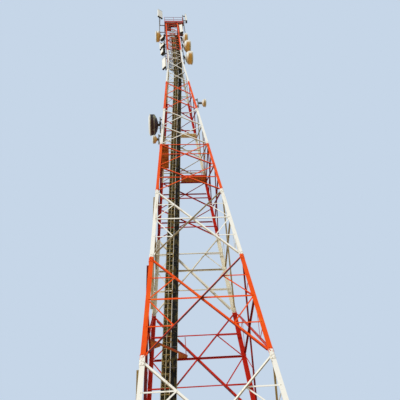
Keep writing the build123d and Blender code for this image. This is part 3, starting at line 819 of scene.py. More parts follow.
@dataclass(frozen=True)
class TowerForm:
    """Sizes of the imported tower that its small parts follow, in millimetres."""

    base_half: float = 1430.0
    top_half: float = 330.0
    taper_top: float = 20000.0
    bands: tuple[float, ...] = (15.0, *BORDERS_MM[1:])
    # First band of the middle panels and of the small ones, with each kind's leg flange and panel height
    large_bands: int = 4
    middle_bands: int = 7
    flanges: tuple[float, ...] = (90.0, 75.0, 60.0)
    pitches: tuple[float, ...] = (2485.0, 1250.0, 625.0)
    end_rise: float = 34.0
    leg_thick: float = 8.0
    bar_thick: float = 5.0
    setback: float = 110.0
    stringer_deep: float = 25.0
    run_foot: float = 150.0
    ladder: CableRow = CableRow(275.0, 185.0, 9, 61.4)
    tray: CableRow = CableRow(472.0, 145.0, 8, 126.8)
    ladder_top: float = 25550.0
    tray_top: float = 24900.0
    cable_top: float = 24700.0
    upper_support: float = 14975.2
    support_drop: float = 40.0
    support_share: float = 0.3
    pole_radius: float = 19.0
    work_level: float = 12500.0
    deck_level: float = 25112.0

    def half_width(self, z: float) -> float:
        """Half the tower's outer width at a height."""
        return self.base_half + (self.top_half - self.base_half) * min(z, self.taper_top) / self.taper_top

    def slope(self, z: float) -> float:
        """How far a face leans in for each unit of height."""
        return (self.base_half - self.top_half) / self.taper_top if z < self.taper_top else 0.0

    def grade(self, band: int) -> int:
        """Kind of a band's panels: 0 for the large ones, 1 for the middle ones, 2 for the head's."""
        return (band >= self.large_bands) + (band >= self.middle_bands)

    def node(self, z: float, band: int, side: int) -> Vector:
        """Where the bracing's line meets a leg: a point of the near face, across and up."""
        return Vector((side * (self.half_width(z) - self.flanges[self.grade(band)] / 2), z))

    def crossing(self, low: float, high: float, band: int) -> float:
        """Height at which the diagonals of a band's panel cross, from the heights of its ends."""
        a, b = (self.node(z, band, 1).x for z in (low + self.end_rise, high - self.end_rise))
        return low + self.end_rise + (high - low - 2 * self.end_rise) * a / (a + b)

    def panels(self, first: int) -> list[tuple[float, float, int]]:
        """Finds the crossed panels of one paint, from the foot up.

        Args:
            first: 0 for the red bands, 1 for the white ones.

        Returns:
            Low end, high end and band of each panel.
        """
        found = []
        for band, (z0, z1) in enumerate(zip(self.bands, self.bands[1:])):
            if band % 2 != first:
                continue
            spans = [(z0, z1)] if not z0 < self.taper_top < z1 else [(z0, self.taper_top), (self.taper_top, z1)]
            for low, high in spans:
                kind = 0 if band < self.large_bands else 1 if low < self.taper_top else 2
                count = round((high - low) / self.pitches[kind])
                step = (high - low) / count
                found += [(low + index * step, low + (index + 1) * step, band) for index in range(count)]
        return found

    def support_heights(self) -> list[float]:
        """Finds the middle heights of the bars that carry the ladder run.

        Returns:
            Heights, in millimetres.
        """
        heights = [self.upper_support]
        for band, (z0, z1) in enumerate(zip(self.bands, self.bands[1:])):
            if band < self.large_bands:
                middle = self.crossing(z0, z1, band)
                ends = (z0 + self.end_rise, z1 - self.end_rise)
                heights += [(end + middle) / 2 - self.support_drop for end in ends]
            else:
                count = round((z1 - z0) / self.pitches[1])
                heights += [z0 + (index + self.support_share) * (z1 - z0) / count for index in range(count)]
        return heights

    def frame(self, quarter: int, along: Vector, spot: Vector) -> Matrix:
        """Finds a place on a face from a line and a point of the near face.

        Args:
            quarter: Quarter turns from the near face.
            along: Direction of the line.
            spot: The point.

        Returns:
            The place, Y along the line and Z out of the face, in metres.
        """
        out, along = Vector((0, -1, self.slope(spot.z))).normalized(), along.normalized()
        place = Matrix((along.cross(out), along, out)).transposed().to_4x4()
        place.translation = spot * MM
        return turn(90.0 * quarter, "Z") @ place

    def on_face(self, quarter: int, x: float, z: float, depth: float) -> Matrix:
        """Place a distance from a face's middle line and inside its outer plane: Y up it, Z out of it."""
        return self.frame(quarter, Vector((0, self.slope(z), 1)), Vector((x, depth - self.half_width(z), z)))

    def on_leg(self, quarter: int, side: int, z: float, inwards: float, depth: float) -> Matrix:
        """Place a distance inwards from the left (-1) or right (1) heel line of a face: Y along the heel line."""
        slope, w = self.slope(z), self.half_width(z)
        return self.frame(quarter, Vector((-side * slope, slope, 1)), Vector((side * (w - inwards), depth - w, z)))

    def on_run(self, inwards: float, z: float, depth: float) -> Matrix:
        """Place on the ladder run inside the far face: Y up the run and -Z towards the climber."""
        return self.on_leg(2, 1, z, inwards, depth)

    def run_length(self, z0: float, z1: float) -> float:
        """Length along the run between two heights."""
        return (z1 - z0) * math.sqrt(1 + 2 * self.slope(z0) ** 2)

    def pole_axis(self, name: str) -> tuple[float, float]:
        """Finds where a pole's axis stands.

        Args:
            name: Name of the pole.

        Returns:
            X and Y, in millimetres.
        """
        pole = POLES[name]
        w = self.half_width((pole.brackets[0] + pole.brackets[-1]) / 2)
        return pole.side * (w + pole.outside), pole.inside - w

    def unit_place(self, unit: Unit) -> Matrix:
        """Place at a unit's middle: X the way it faces, Y across it, Z up."""
        out = self.pole_radius + unit.gap + unit.deep / 2
        return at(*self.pole_axis(unit.pole), unit.z) @ turn(unit.facing, "Z") @ at(out, 0, 0)


@dataclass
class Assembly:
    """A group of small parts that follows the tower's form."""

    form: TowerForm
    shop: Paintshop


@dataclass(frozen=True)
class BoltSize:
    """A hexagon bolt: radii of head, washer and stem, and its steps from a bar's end and from a crossing."""

    head: float
    washer: float
    stem: float
    end_steps: tuple[float, ...]
    centre_step: float


@dataclass
class Fastenings(Assembly):
    """Bolts of the bracing, flats under its diagonals, splice plates of the legs and anchor bolts."""

    sizes: tuple[BoltSize, ...] = (
        BoltSize(8.7, 10.4, 5.0, (14.0, 42.0), 34.0),
        BoltSize(7.0, 8.4, 4.0, (10.0, 28.0), 20.0),
        BoltSize(5.0, 6.0, 2.8, (10.0,), 0.0),
    )
    knee_steps: tuple[float, ...] = (12.0, 34.0)
    quarter_step: float = 14.0
    flat_cope: float = 114.0
    flat_deep: float = 60.0
    screw_pitch: float = 400.0
    splice_half: float = 120.0
    splice_thick: float = 5.0
    seat: float = 0.3
    anchor_inset: float = 45.0
    anchor_reach: float = 110.0

    def bolt(self, size: BoltSize, grip: float) -> Object:
        """Models a bolt with its head's seat at the origin and its nut a grip below.

        Args:
            size: Size of the bolt.
            grip: Thickness that it holds together, in millimetres.

        Returns:
            The new object.
        """
        r, washer, tall = size.head, 0.18 * size.head, 0.72 * size.head
        head = moved(disc(6, r, washer, washer + tall, 0.16 * r), turn(13.0, "Z"))
        nut = moved(disc(6, 0.96 * r, grip, grip + 0.9 * tall, 0.12 * r), turn(180.0, "X"))
        tip = moved(disc(6, size.stem, grip + 0.9 * tall, grip + 1.5 * tall, 0.2 * size.stem), turn(180.0, "X"))
        return join([head, disc(10, size.washer, 0.0, washer, 0.4 * washer), nut, tip])

    def spots(self, low: float, high: float, band: int) -> list[tuple[Vector, bool]]:
        """Finds the bolt places of one panel.

        Args:
            low: Low end of the panel.
            high: High end.
            band: Its paint band.

        Returns:
            Points of the near face, across and up, and whether each goes through a leg.
        """

        def along(start: Vector, end: Vector, step: float) -> Vector:
            """A point of the near face a step along a bar from its start."""
            return start + (end - start).normalized() * step

        form, size = self.form, self.sizes[self.form.grade(band)]
        middle = form.crossing(low, high, band)
        centre = Vector((0, middle))
        found = []
        ends = [form.node(z, band, side) for z in (low + form.end_rise, high - form.end_rise) for side in (-1, 1)]
        for end in ends:
            found += [(along(end, centre, step), True) for step in size.end_steps]
            if size.centre_step:
                found.append((along(centre, end, size.centre_step), False))
        if not size.centre_step:
            found.append((centre, False))
        if band < form.large_bands:
            for side in (-1, 1):
                found += [(along(form.node(middle, band, side), centre, step), True) for step in self.knee_steps]
            for quarter in [(end + centre) / 2 for end in ends]:
                knee = form.node(quarter.y, band, 1 if quarter.x > 0 else -1)
                found += [(quarter, False), (along(knee, quarter, self.quarter_step), True)]
        return found

    def bolt_bracing(self) -> None:
        """Bolts the bracing of all faces to the legs and at its crossings."""
        form, over = self.form, self.seat + self.splice_thick
        grips = {True: form.leg_thick + form.bar_thick, False: form.bar_thick}
        stock = {
            (grade, held, lifted): self.bolt(size, grips[held] + (over if lifted else 0.0))
            for grade, size in enumerate(self.sizes)
            for held, lifted in ((True, True), (True, False), (False, False))
        }
        for first, paint in enumerate(("red", "white")):
            places = []
            for low, high, band in form.panels(first):
                for spot, held in self.spots(low, high, band):
                    lifted = held and any(abs(spot.y - joint) < self.splice_half for joint in form.bands[1:-1])
                    depth = (0.0 if held else form.leg_thick) - (over if lifted else 0.0)
                    places.append((stock[form.grade(band), held, lifted], spot, depth))
            for quarter, side in enumerate(("near", "right", "far", "left")):
                bolts = [(bolt, form.on_face(quarter, spot.x, spot.y, depth)) for bolt, spot, depth in places]
                name = f"bracing_bolts_{side}_{paint}"
                self.shop.hand_over(name, [scatter(bolts, keep=True)], paint, Slot(f"{paint}_paint"))
        put_away(stock.values())

    def lay_diagonal_flats(self) -> None:
        """Bolts a flat under the outward flange of each rising diagonal of the large panels, deep red in the red bands
        as painted shade.
        """
        form, cope = self.form, self.flat_cope
        # The red bands' flats take the deep red as painted shade on the rising diagonals
        for first, (paint, key) in enumerate((("red", "deep_red"), ("white", "white"))):
            parts = []
            for low, high, band in form.panels(first):
                if band >= form.large_bands:
                    continue
                a, b = form.node(low + form.end_rise, band, -1), form.node(high - form.end_rise, band, 1)
                along = Vector((b.x - a.x, form.slope(low) * (b.y - a.y), b.y - a.y))
                long = along.length - 2 * cope
                flat = bar((19.3, cope, -2.0), (23.5, cope + long, self.flat_deep), 0.8)
                screw = moved(disc(6, 5.5, 0.0, 4.0, 0.7), turn(90.0, "Y"))
                count = int(long / self.screw_pitch)
                steps = [cope + (index + 0.5) * long / count for index in range(count)]
                stiffened = fitted([flat], screw, [(23.5, y, 8.0) for y in steps])
                spot = Vector((a.x, form.leg_thick - form.half_width(a.y), a.y))
                parts.append(scatter([(stiffened, form.frame(quarter, along, spot)) for quarter in range(4)]))
            self.shop.hand_over(f"diagonal_flats_{paint}", parts, key, Slot(f"{paint}_paint"))

    def splice_legs(self) -> None:
        """Bolts a plate over each flange of each leg joint."""
        form, tall, top = self.form, self.splice_half, self.seat + self.splice_thick
        rows = [(0.19, 30.0), (0.19, -30.0), (0.19, 90.0), (0.19, -90.0), (-0.2, 102.0), (-0.2, -102.0)]
        parts = []
        for band, joint in enumerate(form.bands[1:-1], start=1):
            grade = form.grade(band)
            wide = form.flanges[grade]
            half = wide / 2 - 6.0
            for side in (-1, 1):
                plate = bar((-half, -tall, self.seat), (half, tall, top), 1.2)
                bolt = self.bolt(self.sizes[grade], top + form.leg_thick)
                bolted = fitted([plate], bolt, [(side * share * wide, y, top) for share, y in rows])
                places = [(bolted, form.on_leg(quarter, side, joint, wide / 2, 0.0)) for quarter in range(4)]
                parts.append(scatter(places))
        self.shop.hand_over("leg_splice_plates", parts, "banded", Slot.RED)

    def anchor(self) -> None:
        """Sets four anchor bolts with washers and double nuts in each base plate."""
        nuts = [ring(6, 9.2, 16.5, 18.3, 33.0, 1.2), ring(6, 9.2, 16.5, 33.3, 42.0, 1.0)]
        bolt = join([disc(12, 9.0, 0.0, 62.0, 1.5), ring(16, 9.4, 19.0, 15.2, 18.2, 0.6), *nuts])
        middle = self.form.base_half - self.anchor_inset
        lines = [side * middle + way * self.anchor_reach for side in (-1, 1) for way in (-1, 1)]
        bolts = scatter([(bolt, at(x, y, 0.0)) for x in lines for y in lines])
        self.shop.hand_over("anchor_bolts", [bolts], "bright_zinc", Slot.STEEL)

    def build(self) -> None:
        """Builds all fastenings."""
        self.bolt_bracing()
        self.lay_diagonal_flats()
        self.splice_legs()
        self.anchor()


@dataclass
class CableRun(Assembly):
    """Cage, clamps, straps, control cables and guide rail along the ladder and the feeder cables."""

    thin_radius: float = 3.0
    thin_foot: float = 260.0
    front_groove: float = 5.3
    rear_groove: float = 4.9
    clamp_pitch: float = 500.0
    clip_pitch: float = 380.0
    clip_spread: float = 55.0
    # Least distance of a clip from a support's middle, and from the run's bend and the feeders' ends
    support_gap: float = 45.0
    bend_gap: float = 60.0
    hoop_radius: float = 175.0
    hoop_reach: float = 118.0
    hoop_tall: float = 25.0
    hoop_pitch: float = 440.0
    cage_low: float = 20450.0
    cage_high: float = 24850.0
    strip_turns: tuple[float, ...] = (-102.0, -68.0, -34.0, 0.0, 34.0, 68.0, 102.0)
    joint_pitch: float = 3000.0
    rung_pitch: float = 150.0

    def rungs(self, top: float, pitch: float) -> list[list[float]]:
        """Finds even heights inside the two lengths of the run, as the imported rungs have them.

        Args:
            top: Top of the upright length.
            pitch: Distance between the heights.

        Returns:
            Heights on the inclined length and on the upright one.
        """
        found = []
        for z0, z1 in self.lengths(top):
            count = int((z1 - z0) / pitch)
            rest = (z1 - z0 - (count - 1) * pitch) / 2
            found.append([z0 + rest + index * pitch for index in range(count)])
        return found

    def lengths(self, top: float) -> tuple[tuple[float, float], ...]:
        """Ends of the inclined and the upright length of the run, which reaches to a top."""
        return (self.form.run_foot, self.form.taper_top - 1.0), (self.form.taper_top + 1.0, top)

    def cage(self) -> None:
        """Hangs climbing hoops on the upright length of the ladder and ties them with flat strips."""
        form, radius, tall, reach = self.form, self.hoop_radius, self.hoop_tall, self.hoop_reach
        hoop = moved(ring(28, radius - 3.5, radius, -tall / 2, tall / 2, 0.0), at(0, reach, 0))
        cut = {"plane_co": (0, 4.0 * MM, 0), "plane_no": (0, 1, 0), "clear_inner": True, "use_fill": True}
        shape(hoop, "FACE", everywhere, lambda: bpy.ops.mesh.bisect(**cut))
        half, wide = form.ladder.width / 2, math.sqrt(radius**2 - reach**2) + 2.0
        lugs = []
        for way in (-1, 1):
            for end, low, high in ((wide, -4.0, -0.3), (half, -0.5, 6.8)):
                x0, x1 = sorted((way * (half - 6.0), way * end))
                lugs.append(bar((x0, -tall / 2, low), (x1, tall / 2, high), 0.6))
        hoop = join([moved(hoop, turn(-90.0, "X")), *lugs])
        middle, depth = form.ladder.edge + half, form.setback + form.stringer_deep + 7.0
        long = self.cage_high - self.cage_low
        count = int(long / self.hoop_pitch)
        heights = [self.cage_low + index * long / count for index in range(count + 1)]
        hoops = scatter([(hoop, form.on_run(middle, z, depth)) for z in heights])
        strip = bar((-7.5, -tall / 2, 3.7 - radius), (7.5, long + tall / 2, 6.7 - radius), 0.6)
        centre = form.on_run(middle, self.cage_low, depth) @ at(0, 0, -reach)
        strips = scatter([(strip, centre @ turn(degrees, "Y")) for degrees in self.strip_turns])
        self.shop.hand_over("climbing_cage", [hoops, strips], "dusty_zinc", Slot.STEEL)

    def lay_control_cables(self) -> None:
        """Lays the thin cables that lie in the grooves between the feeders."""
        form = self.form
        rows = ((form.tray, form.tray.depth + self.front_groove), (form.ladder, form.ladder.depth - self.rear_groove))
        groups: dict[str, list[Object]] = {"jacket": [], "pale_jacket": [], "dusty_jacket": []}
        for row, depth in rows:
            for index in range(row.count - 1):
                key = "jacket" if row is form.tray else "pale_jacket" if index % 3 == 1 else "dusty_jacket"
                for z0, z1 in ((self.thin_foot, form.taper_top), (form.taper_top, form.cable_top)):
                    thin = disc(7, self.thin_radius, 0.0, form.run_length(z0, z1), 1.0)
                    groups[key].append(moved(thin, form.on_run(row.line(index + 0.5), z0, depth) @ turn(-90.0, "X")))
        for key, parts in groups.items():
            self.shop.hand_over(f"control_cables_{key}", parts, key, Slot.JACKET)

    def clamp_front_cables(self) -> None:
        """Straps the black feeders down at every rung of the tray."""
        form = self.form
        half = form.tray.width / 2 + 3.0
        strip = bar((-half, -9.0, -3.0), (half, 9.0, 0.0), 0.8)
        ribs = [bar((8.0 - half, y - 1.2, -6.5), (half - 8.0, y + 1.2, -2.5), 0.6) for y in (-5.5, 5.5)]
        screw = moved(disc(6, 4.6, 3.0, 7.0, 0.8), turn(180.0, "X"))
        strap = fitted([strip, *ribs], screw, [(x, 0, 0) for x in (4.0 - half, half - 4.0)])
        middle, depth = form.tray.edge + form.tray.width / 2, form.setback + form.stringer_deep + 0.3
        heights = [z for part in self.rungs(form.tray_top, self.clamp_pitch) for z in part if z < form.cable_top]
        straps = scatter([(strap, form.on_face(2, form.half_width(z) - middle, z, depth)) for z in heights])
        self.shop.hand_over("feeder_clamp_straps", [straps], "zinc", Slot.STEEL)

    def clip_rear_cables(self) -> None:
        """Hangs the older feeders in split rings with ears and a screw, set by hand at uneven heights."""
        form, row, draw = self.form, self.form.ladder, random.Random(SEED)
        collar = moved(ring(8, 8.3, 10.6, -8.0, 8.0, 0.0), turn(90.0, "X") @ turn(22.5, "Z"))
        ears = [bar((x - 1.1, -7.0, -19.0), (x + 1.1, 7.0, -9.4), 0.5) for x in (-1.9, 1.9)]
        screw = moved(disc(6, 3.2, 3.2, 6.0, 0.6), at(0, 0, -14.5) @ turn(90.0, "Y"))
        clip = join([collar, *ears, screw])
        supports = form.support_heights()
        groups: dict[str, list[tuple[Object, Matrix]]] = {"dusty_zinc": [], "bright_zinc": [], "jacket": []}
        for index in range(row.count):
            z = self.thin_foot + (index % 2) * self.clip_pitch / 2
            while z < form.cable_top - self.bend_gap:
                spot = z + draw.uniform(-self.clip_spread, self.clip_spread)
                kind = draw.choice(("dusty_zinc", "dusty_zinc", "bright_zinc", "jacket"))
                clear = all(abs(spot - support) > self.support_gap for support in supports)
                if clear and abs(spot - form.taper_top) > self.bend_gap:
                    groups[kind].append((clip, form.on_run(row.line(index), spot, row.depth)))
                z += self.clip_pitch
        for kind, places in groups.items():
            slot = Slot.JACKET if kind == "jacket" else Slot.STEEL
            self.shop.hand_over(f"rear_cable_clips_{kind}", [scatter(places, keep=True)], kind, slot)
        put_away([clip])

    def guide_rail(self) -> None:
        """Lays the fall arrest rail up the middle of the ladder, with a sleeve at each joint."""
        form = self.form
        parts = []
        for z0, z1 in self.lengths(form.ladder_top):
            long = form.run_length(z0, z1)
            rail = inset(bar((-8.0, 0.0, -11.0), (8.0, long, 0.0), 0.8), looking_down, 3.0, -6.0)
            sleeve = bar((-11.0, -60.0, -4.0), (11.0, 60.0, -0.2), 0.8)
            steps = range(1, int(long / self.joint_pitch) + 1)
            joined = fitted([rail], sleeve, [(0, step * self.joint_pitch, 0) for step in steps])
            middle = form.ladder.edge + form.ladder.width / 2
            parts.append(moved(joined, form.on_run(middle, z0, form.setback + 17.3)))
        self.shop.hand_over("fall_arrest_rail", parts, "bright_zinc", Slot.STEEL)

    def fish_plates(self) -> None:
        """Joins the lengths of the ladder's stringers with screwed plates, set between two rungs."""
        form, row = self.form, self.form.ladder
        plate = bar((-2.0, -60.0, -22.0), (2.0, 60.0, -3.0), 0.6)
        screw = moved(disc(6, 4.4, 2.0, 5.5, 0.7), turn(90.0, "Y"))
        screwed = fitted([plate], screw, [(0, y, -12.5) for y in (-45.0, -18.0, 18.0, 45.0)])
        rungs = self.rungs(form.ladder_top, self.rung_pitch)
        heights = [z + self.rung_pitch / 2 for part in rungs for z in part[9::20]]
        lines = (row.edge - 5.3, row.edge + row.width - 5.3)
        plates = scatter([(screwed, form.on_run(line, z, form.setback)) for line in lines for z in heights])
        self.shop.hand_over("ladder_fish_plates", [plates], "dusty_zinc", Slot.STEEL)

    def build(self) -> None:
        """Builds everything along the run."""
        self.cage()
        self.lay_control_cables()
        self.clamp_front_cables()
        self.clip_rear_cables()
        self.guide_rail()
        self.fish_plates()


@dataclass
class PoleGear(Assembly):
    """U-bolts and caps of the poles."""

    wire: float = 3.0
    tail: float = 40.0
    clamp_share: float = 0.35

    def axis(self, name: str) -> Matrix:
        """Place on a pole's axis at ground height, X away from the tower's middle line."""
        return at(*self.form.pole_axis(name), 0.0) @ turn(0.0 if POLES[name].side > 0 else 180.0, "Z")

    def u_bolt(self) -> Object:
        """Models a U-bolt that goes round a pole from +X, with its ear plates and nuts.

        Returns:
            The new object.
        """
        reach, mesh = self.form.pole_radius + 3.4, bpy.ops.mesh
        start = {"location": (0, -reach * MM, 0), "rotation": (0, math.radians(90), 0)}
        rod = model(mesh.primitive_circle_add, vertices=8, radius=self.wire * MM, fill_type="NGON", **start)
        way_round = {"steps": 10, "angle": math.pi, "center": (0, 0, 0), "axis": (0, 0, 1)}
        shape(rod, "FACE", everywhere, lambda: mesh.spin(**way_round))
        tails = {"value": (-self.tail * MM, 0, 0)}
        shape(
            rod,
            "FACE",
            lambda spot, way: abs(way.x) > 0.9 and abs(spot.x) < 0.1,
            lambda: mesh.extrude_region_move(TRANSFORM_OT_translate=tails),
        )
        shape(rod, "FACE", everywhere, lambda: mesh.remove_doubles(threshold=0.01 * MM))
        shape(rod, "FACE", everywhere, lambda: mesh.normals_make_consistent(inside=False))
        nut = moved(ring(6, 3.1, 6.0, 0.0, 5.0, 0.6), turn(-90.0, "Y"))
        nuts = scatter([(nut, at(-31.2, y, 0)) for y in (-reach, reach)])
        ears = [bar((-31.0, low, -9.0), (-27.0, low + 16.0, 9.0), 0.8) for low in (-32.0, 16.0)]
        return join([rod, nuts, *ears])

    def clamp_poles(self) -> None:
        """Sets a pair of U-bolts round the pole at each arm, antenna clamp and dish mount."""
        bolt, form = self.u_bolt(), self.form
        places = []
        for name, pole in POLES.items():
            places += [self.axis(name) @ at(0, 0, z + dz) for z in pole.brackets for dz in (-11.0, 11.0)]
        for unit in ANTENNAS + RADIOS:
            heights = [unit.z + way * self.clamp_share * unit.length for way in (-1, 1)]
            places += [at(*form.pole_axis(unit.pole), z) @ turn(unit.facing + 180.0, "Z") for z in heights]
        for dish in DISHES.values():
            places += [self.axis(dish.pole) @ at(0, 0, dish.z + dz) @ turn(180.0, "Z") for dz in (-26.0, 26.0)]
        bolts = scatter([(bolt, place) for place in places])
        self.shop.hand_over("pole_u_bolts", [bolts], "bright_zinc", Slot.STEEL)

    def cap_poles(self) -> None:
        """Closes the poles with domed caps at their heads and collars at their feet."""
        radius = self.form.pole_radius
        head = disc(20, radius + 1.8, -16.0, 2.0, 3.0)
        foot = ring(20, radius + 0.3, radius + 2.4, 0.0, 14.0, 0.6)
        places = []
        for name, pole in POLES.items():
            ends = ((head, pole.head), (foot, pole.foot + 0.5))
            places += [(end, self.axis(name) @ at(0, 0, z)) for end, z in ends]
        self.shop.hand_over("pole_caps", [scatter(places)], "cap", Slot.STEEL)

    def build(self) -> None:
        """Builds all pole fittings."""
        self.clamp_poles()
        self.cap_poles()


@dataclass
class AntennaGear(Assembly):
    """End caps, ports and back rails of the panel antennas, and the covers and fins of the radio units."""

    lap: float = 3.0
    cap_tall: float = 34.0
    cap_round: float = 15.0
    port_radius: float = 9.0
    port_pitch: float = 55.0
    fin_pitch: float = 12.0

    def end_cap(self, unit: Unit) -> Object:
        """Models the cap that closes a unit's lower end, open side up, its floor at the unit's end.

        Args:
            unit: The panel antenna.

        Returns:
            The new object.
        """
        size = (unit.deep + 2 * self.lap, unit.width + 2 * self.lap, self.cap_tall)
        middle = (0, 0, (self.cap_tall / 2 - 8.0) * MM)
        scale = [side * MM for side in size]
        cap = model(bpy.ops.mesh.primitive_cube_add, size=1, location=middle, scale=scale)
        rounded = {"offset": self.cap_round * MM, "segments": 3}
        shape(cap, "EDGE", lambda spot, way: abs(way.z) > 0.9, lambda: bpy.ops.mesh.bevel(**rounded))
        inset(cap, looking_down, 7.0, -3.0)
        return inset(cap, looking_up, self.lap - 0.3, 9.0 - self.cap_tall)

    def port(self) -> Object:
        """Models a capped feeder port that points down.

        Returns:
            The new object.
        """
        r = self.port_radius
        nut, collar = ring(6, r * 0.72, r * 1.3, 0.0, 6.0, 0.8), ring(12, r - 0.5, r + 1.6, 18.0, 22.0, 0.5)
        plug = [nut, disc(12, r * 0.8, 0.0, 16.0, 1.0), disc(12, r, 12.0, 40.0, 4.0), collar]
        return moved(join(plug), turn(180.0, "X"))

    def finish_antennas(self) -> None:
        """Caps both ends of each panel antenna and adds ports and back rails."""
        caps, ports, rails = [], [], []
        port = self.port()
        for unit in ANTENNAS:
            base, half, back = self.form.unit_place(unit), unit.length / 2, -unit.deep / 2
            ends = (at(0, 0, -half), at(0, 0, half) @ turn(180.0, "X"))
            cap = self.end_cap(unit)
            caps.append(scatter([(cap, base @ end) for end in ends]))
            count = max(2, round(unit.width / self.port_pitch))
            lines = [((index + 0.5) / count - 0.5) * (unit.width - 30.0) for index in range(count)]
            ports += [(port, base @ at(x, y, -half - 8.0)) for y in lines for x in (-14.0, 16.0)]
            for y in (16.0 - unit.width / 2, unit.width / 2 - 16.0):
                rail = bar((back - 9.0, y - 6.0, -0.6 * half), (back - 0.2, y + 6.0, 0.6 * half), 1.2)
                rails.append(moved(rail, base))
        self.shop.hand_over("antenna_end_caps", caps, "cap", Slot.RADOME)
        self.shop.hand_over("antenna_ports", [scatter(ports)], "jacket", Slot.JACKET)
        self.shop.hand_over("antenna_back_rails", rails, "bright_zinc", Slot.STEEL)

    def finish_radios(self) -> None:
        """Adds level cooling fins on both sides, a white sun cover on four pegs and ports to the radio units."""
        port = self.port()
        fins, covers, ports = [], [], []
        for unit in RADIOS:
            base, front, half_y, half_z = self.form.unit_place(unit), unit.deep / 2, unit.width / 2, unit.length / 2
            fin = bar((12.0 - front, half_y + 0.2, -1.4), (front - 12.0, half_y + 13.0, 1.4), 0.5)
            rows = int((unit.length - 40.0) / self.fin_pitch) + 1
            heights = [20.0 - half_z + row * self.fin_pitch for row in range(rows)]
            sides = [base @ turn(degrees, "Z") for degrees in (0.0, 180.0)]
            fins.append(scatter([(fin, side @ at(0, 0, z)) for side in sides for z in heights]))
            cover = bar((front + 6.0, -half_y - 5.0, -half_z - 6.0), (front + 16.0, half_y + 5.0, half_z + 6.0), 3.0)
            inset(cover, lambda spot, way: way.x > 0.9, 14.0, 4.0)
            spots = [(y * (half_y - 20.0), z * (half_z - 20.0)) for y in (-1, 1) for z in (-1, 1)]
            pegs = [bar((front + 0.2, y - 6.0, z - 6.0), (front + 6.2, y + 6.0, z + 6.0), 0.8) for y, z in spots]
            covers.append(moved(join([cover, *pegs]), base))
            ports += [(port, base @ at(0, y * half_y, -half_z - 0.2)) for y in (-0.5, 0.0, 0.5)]
        self.shop.hand_over("radio_cooling_fins", fins, "housing", Slot.RADIO)
        self.shop.hand_over("radio_sun_covers", covers, "radome", Slot.RADIO)
        self.shop.hand_over("radio_ports", [scatter(ports)], "jacket", Slot.JACKET)

    def build(self) -> None:
        """Builds the fittings of all antennas and radio units."""
        self.finish_antennas()
        self.finish_radios()


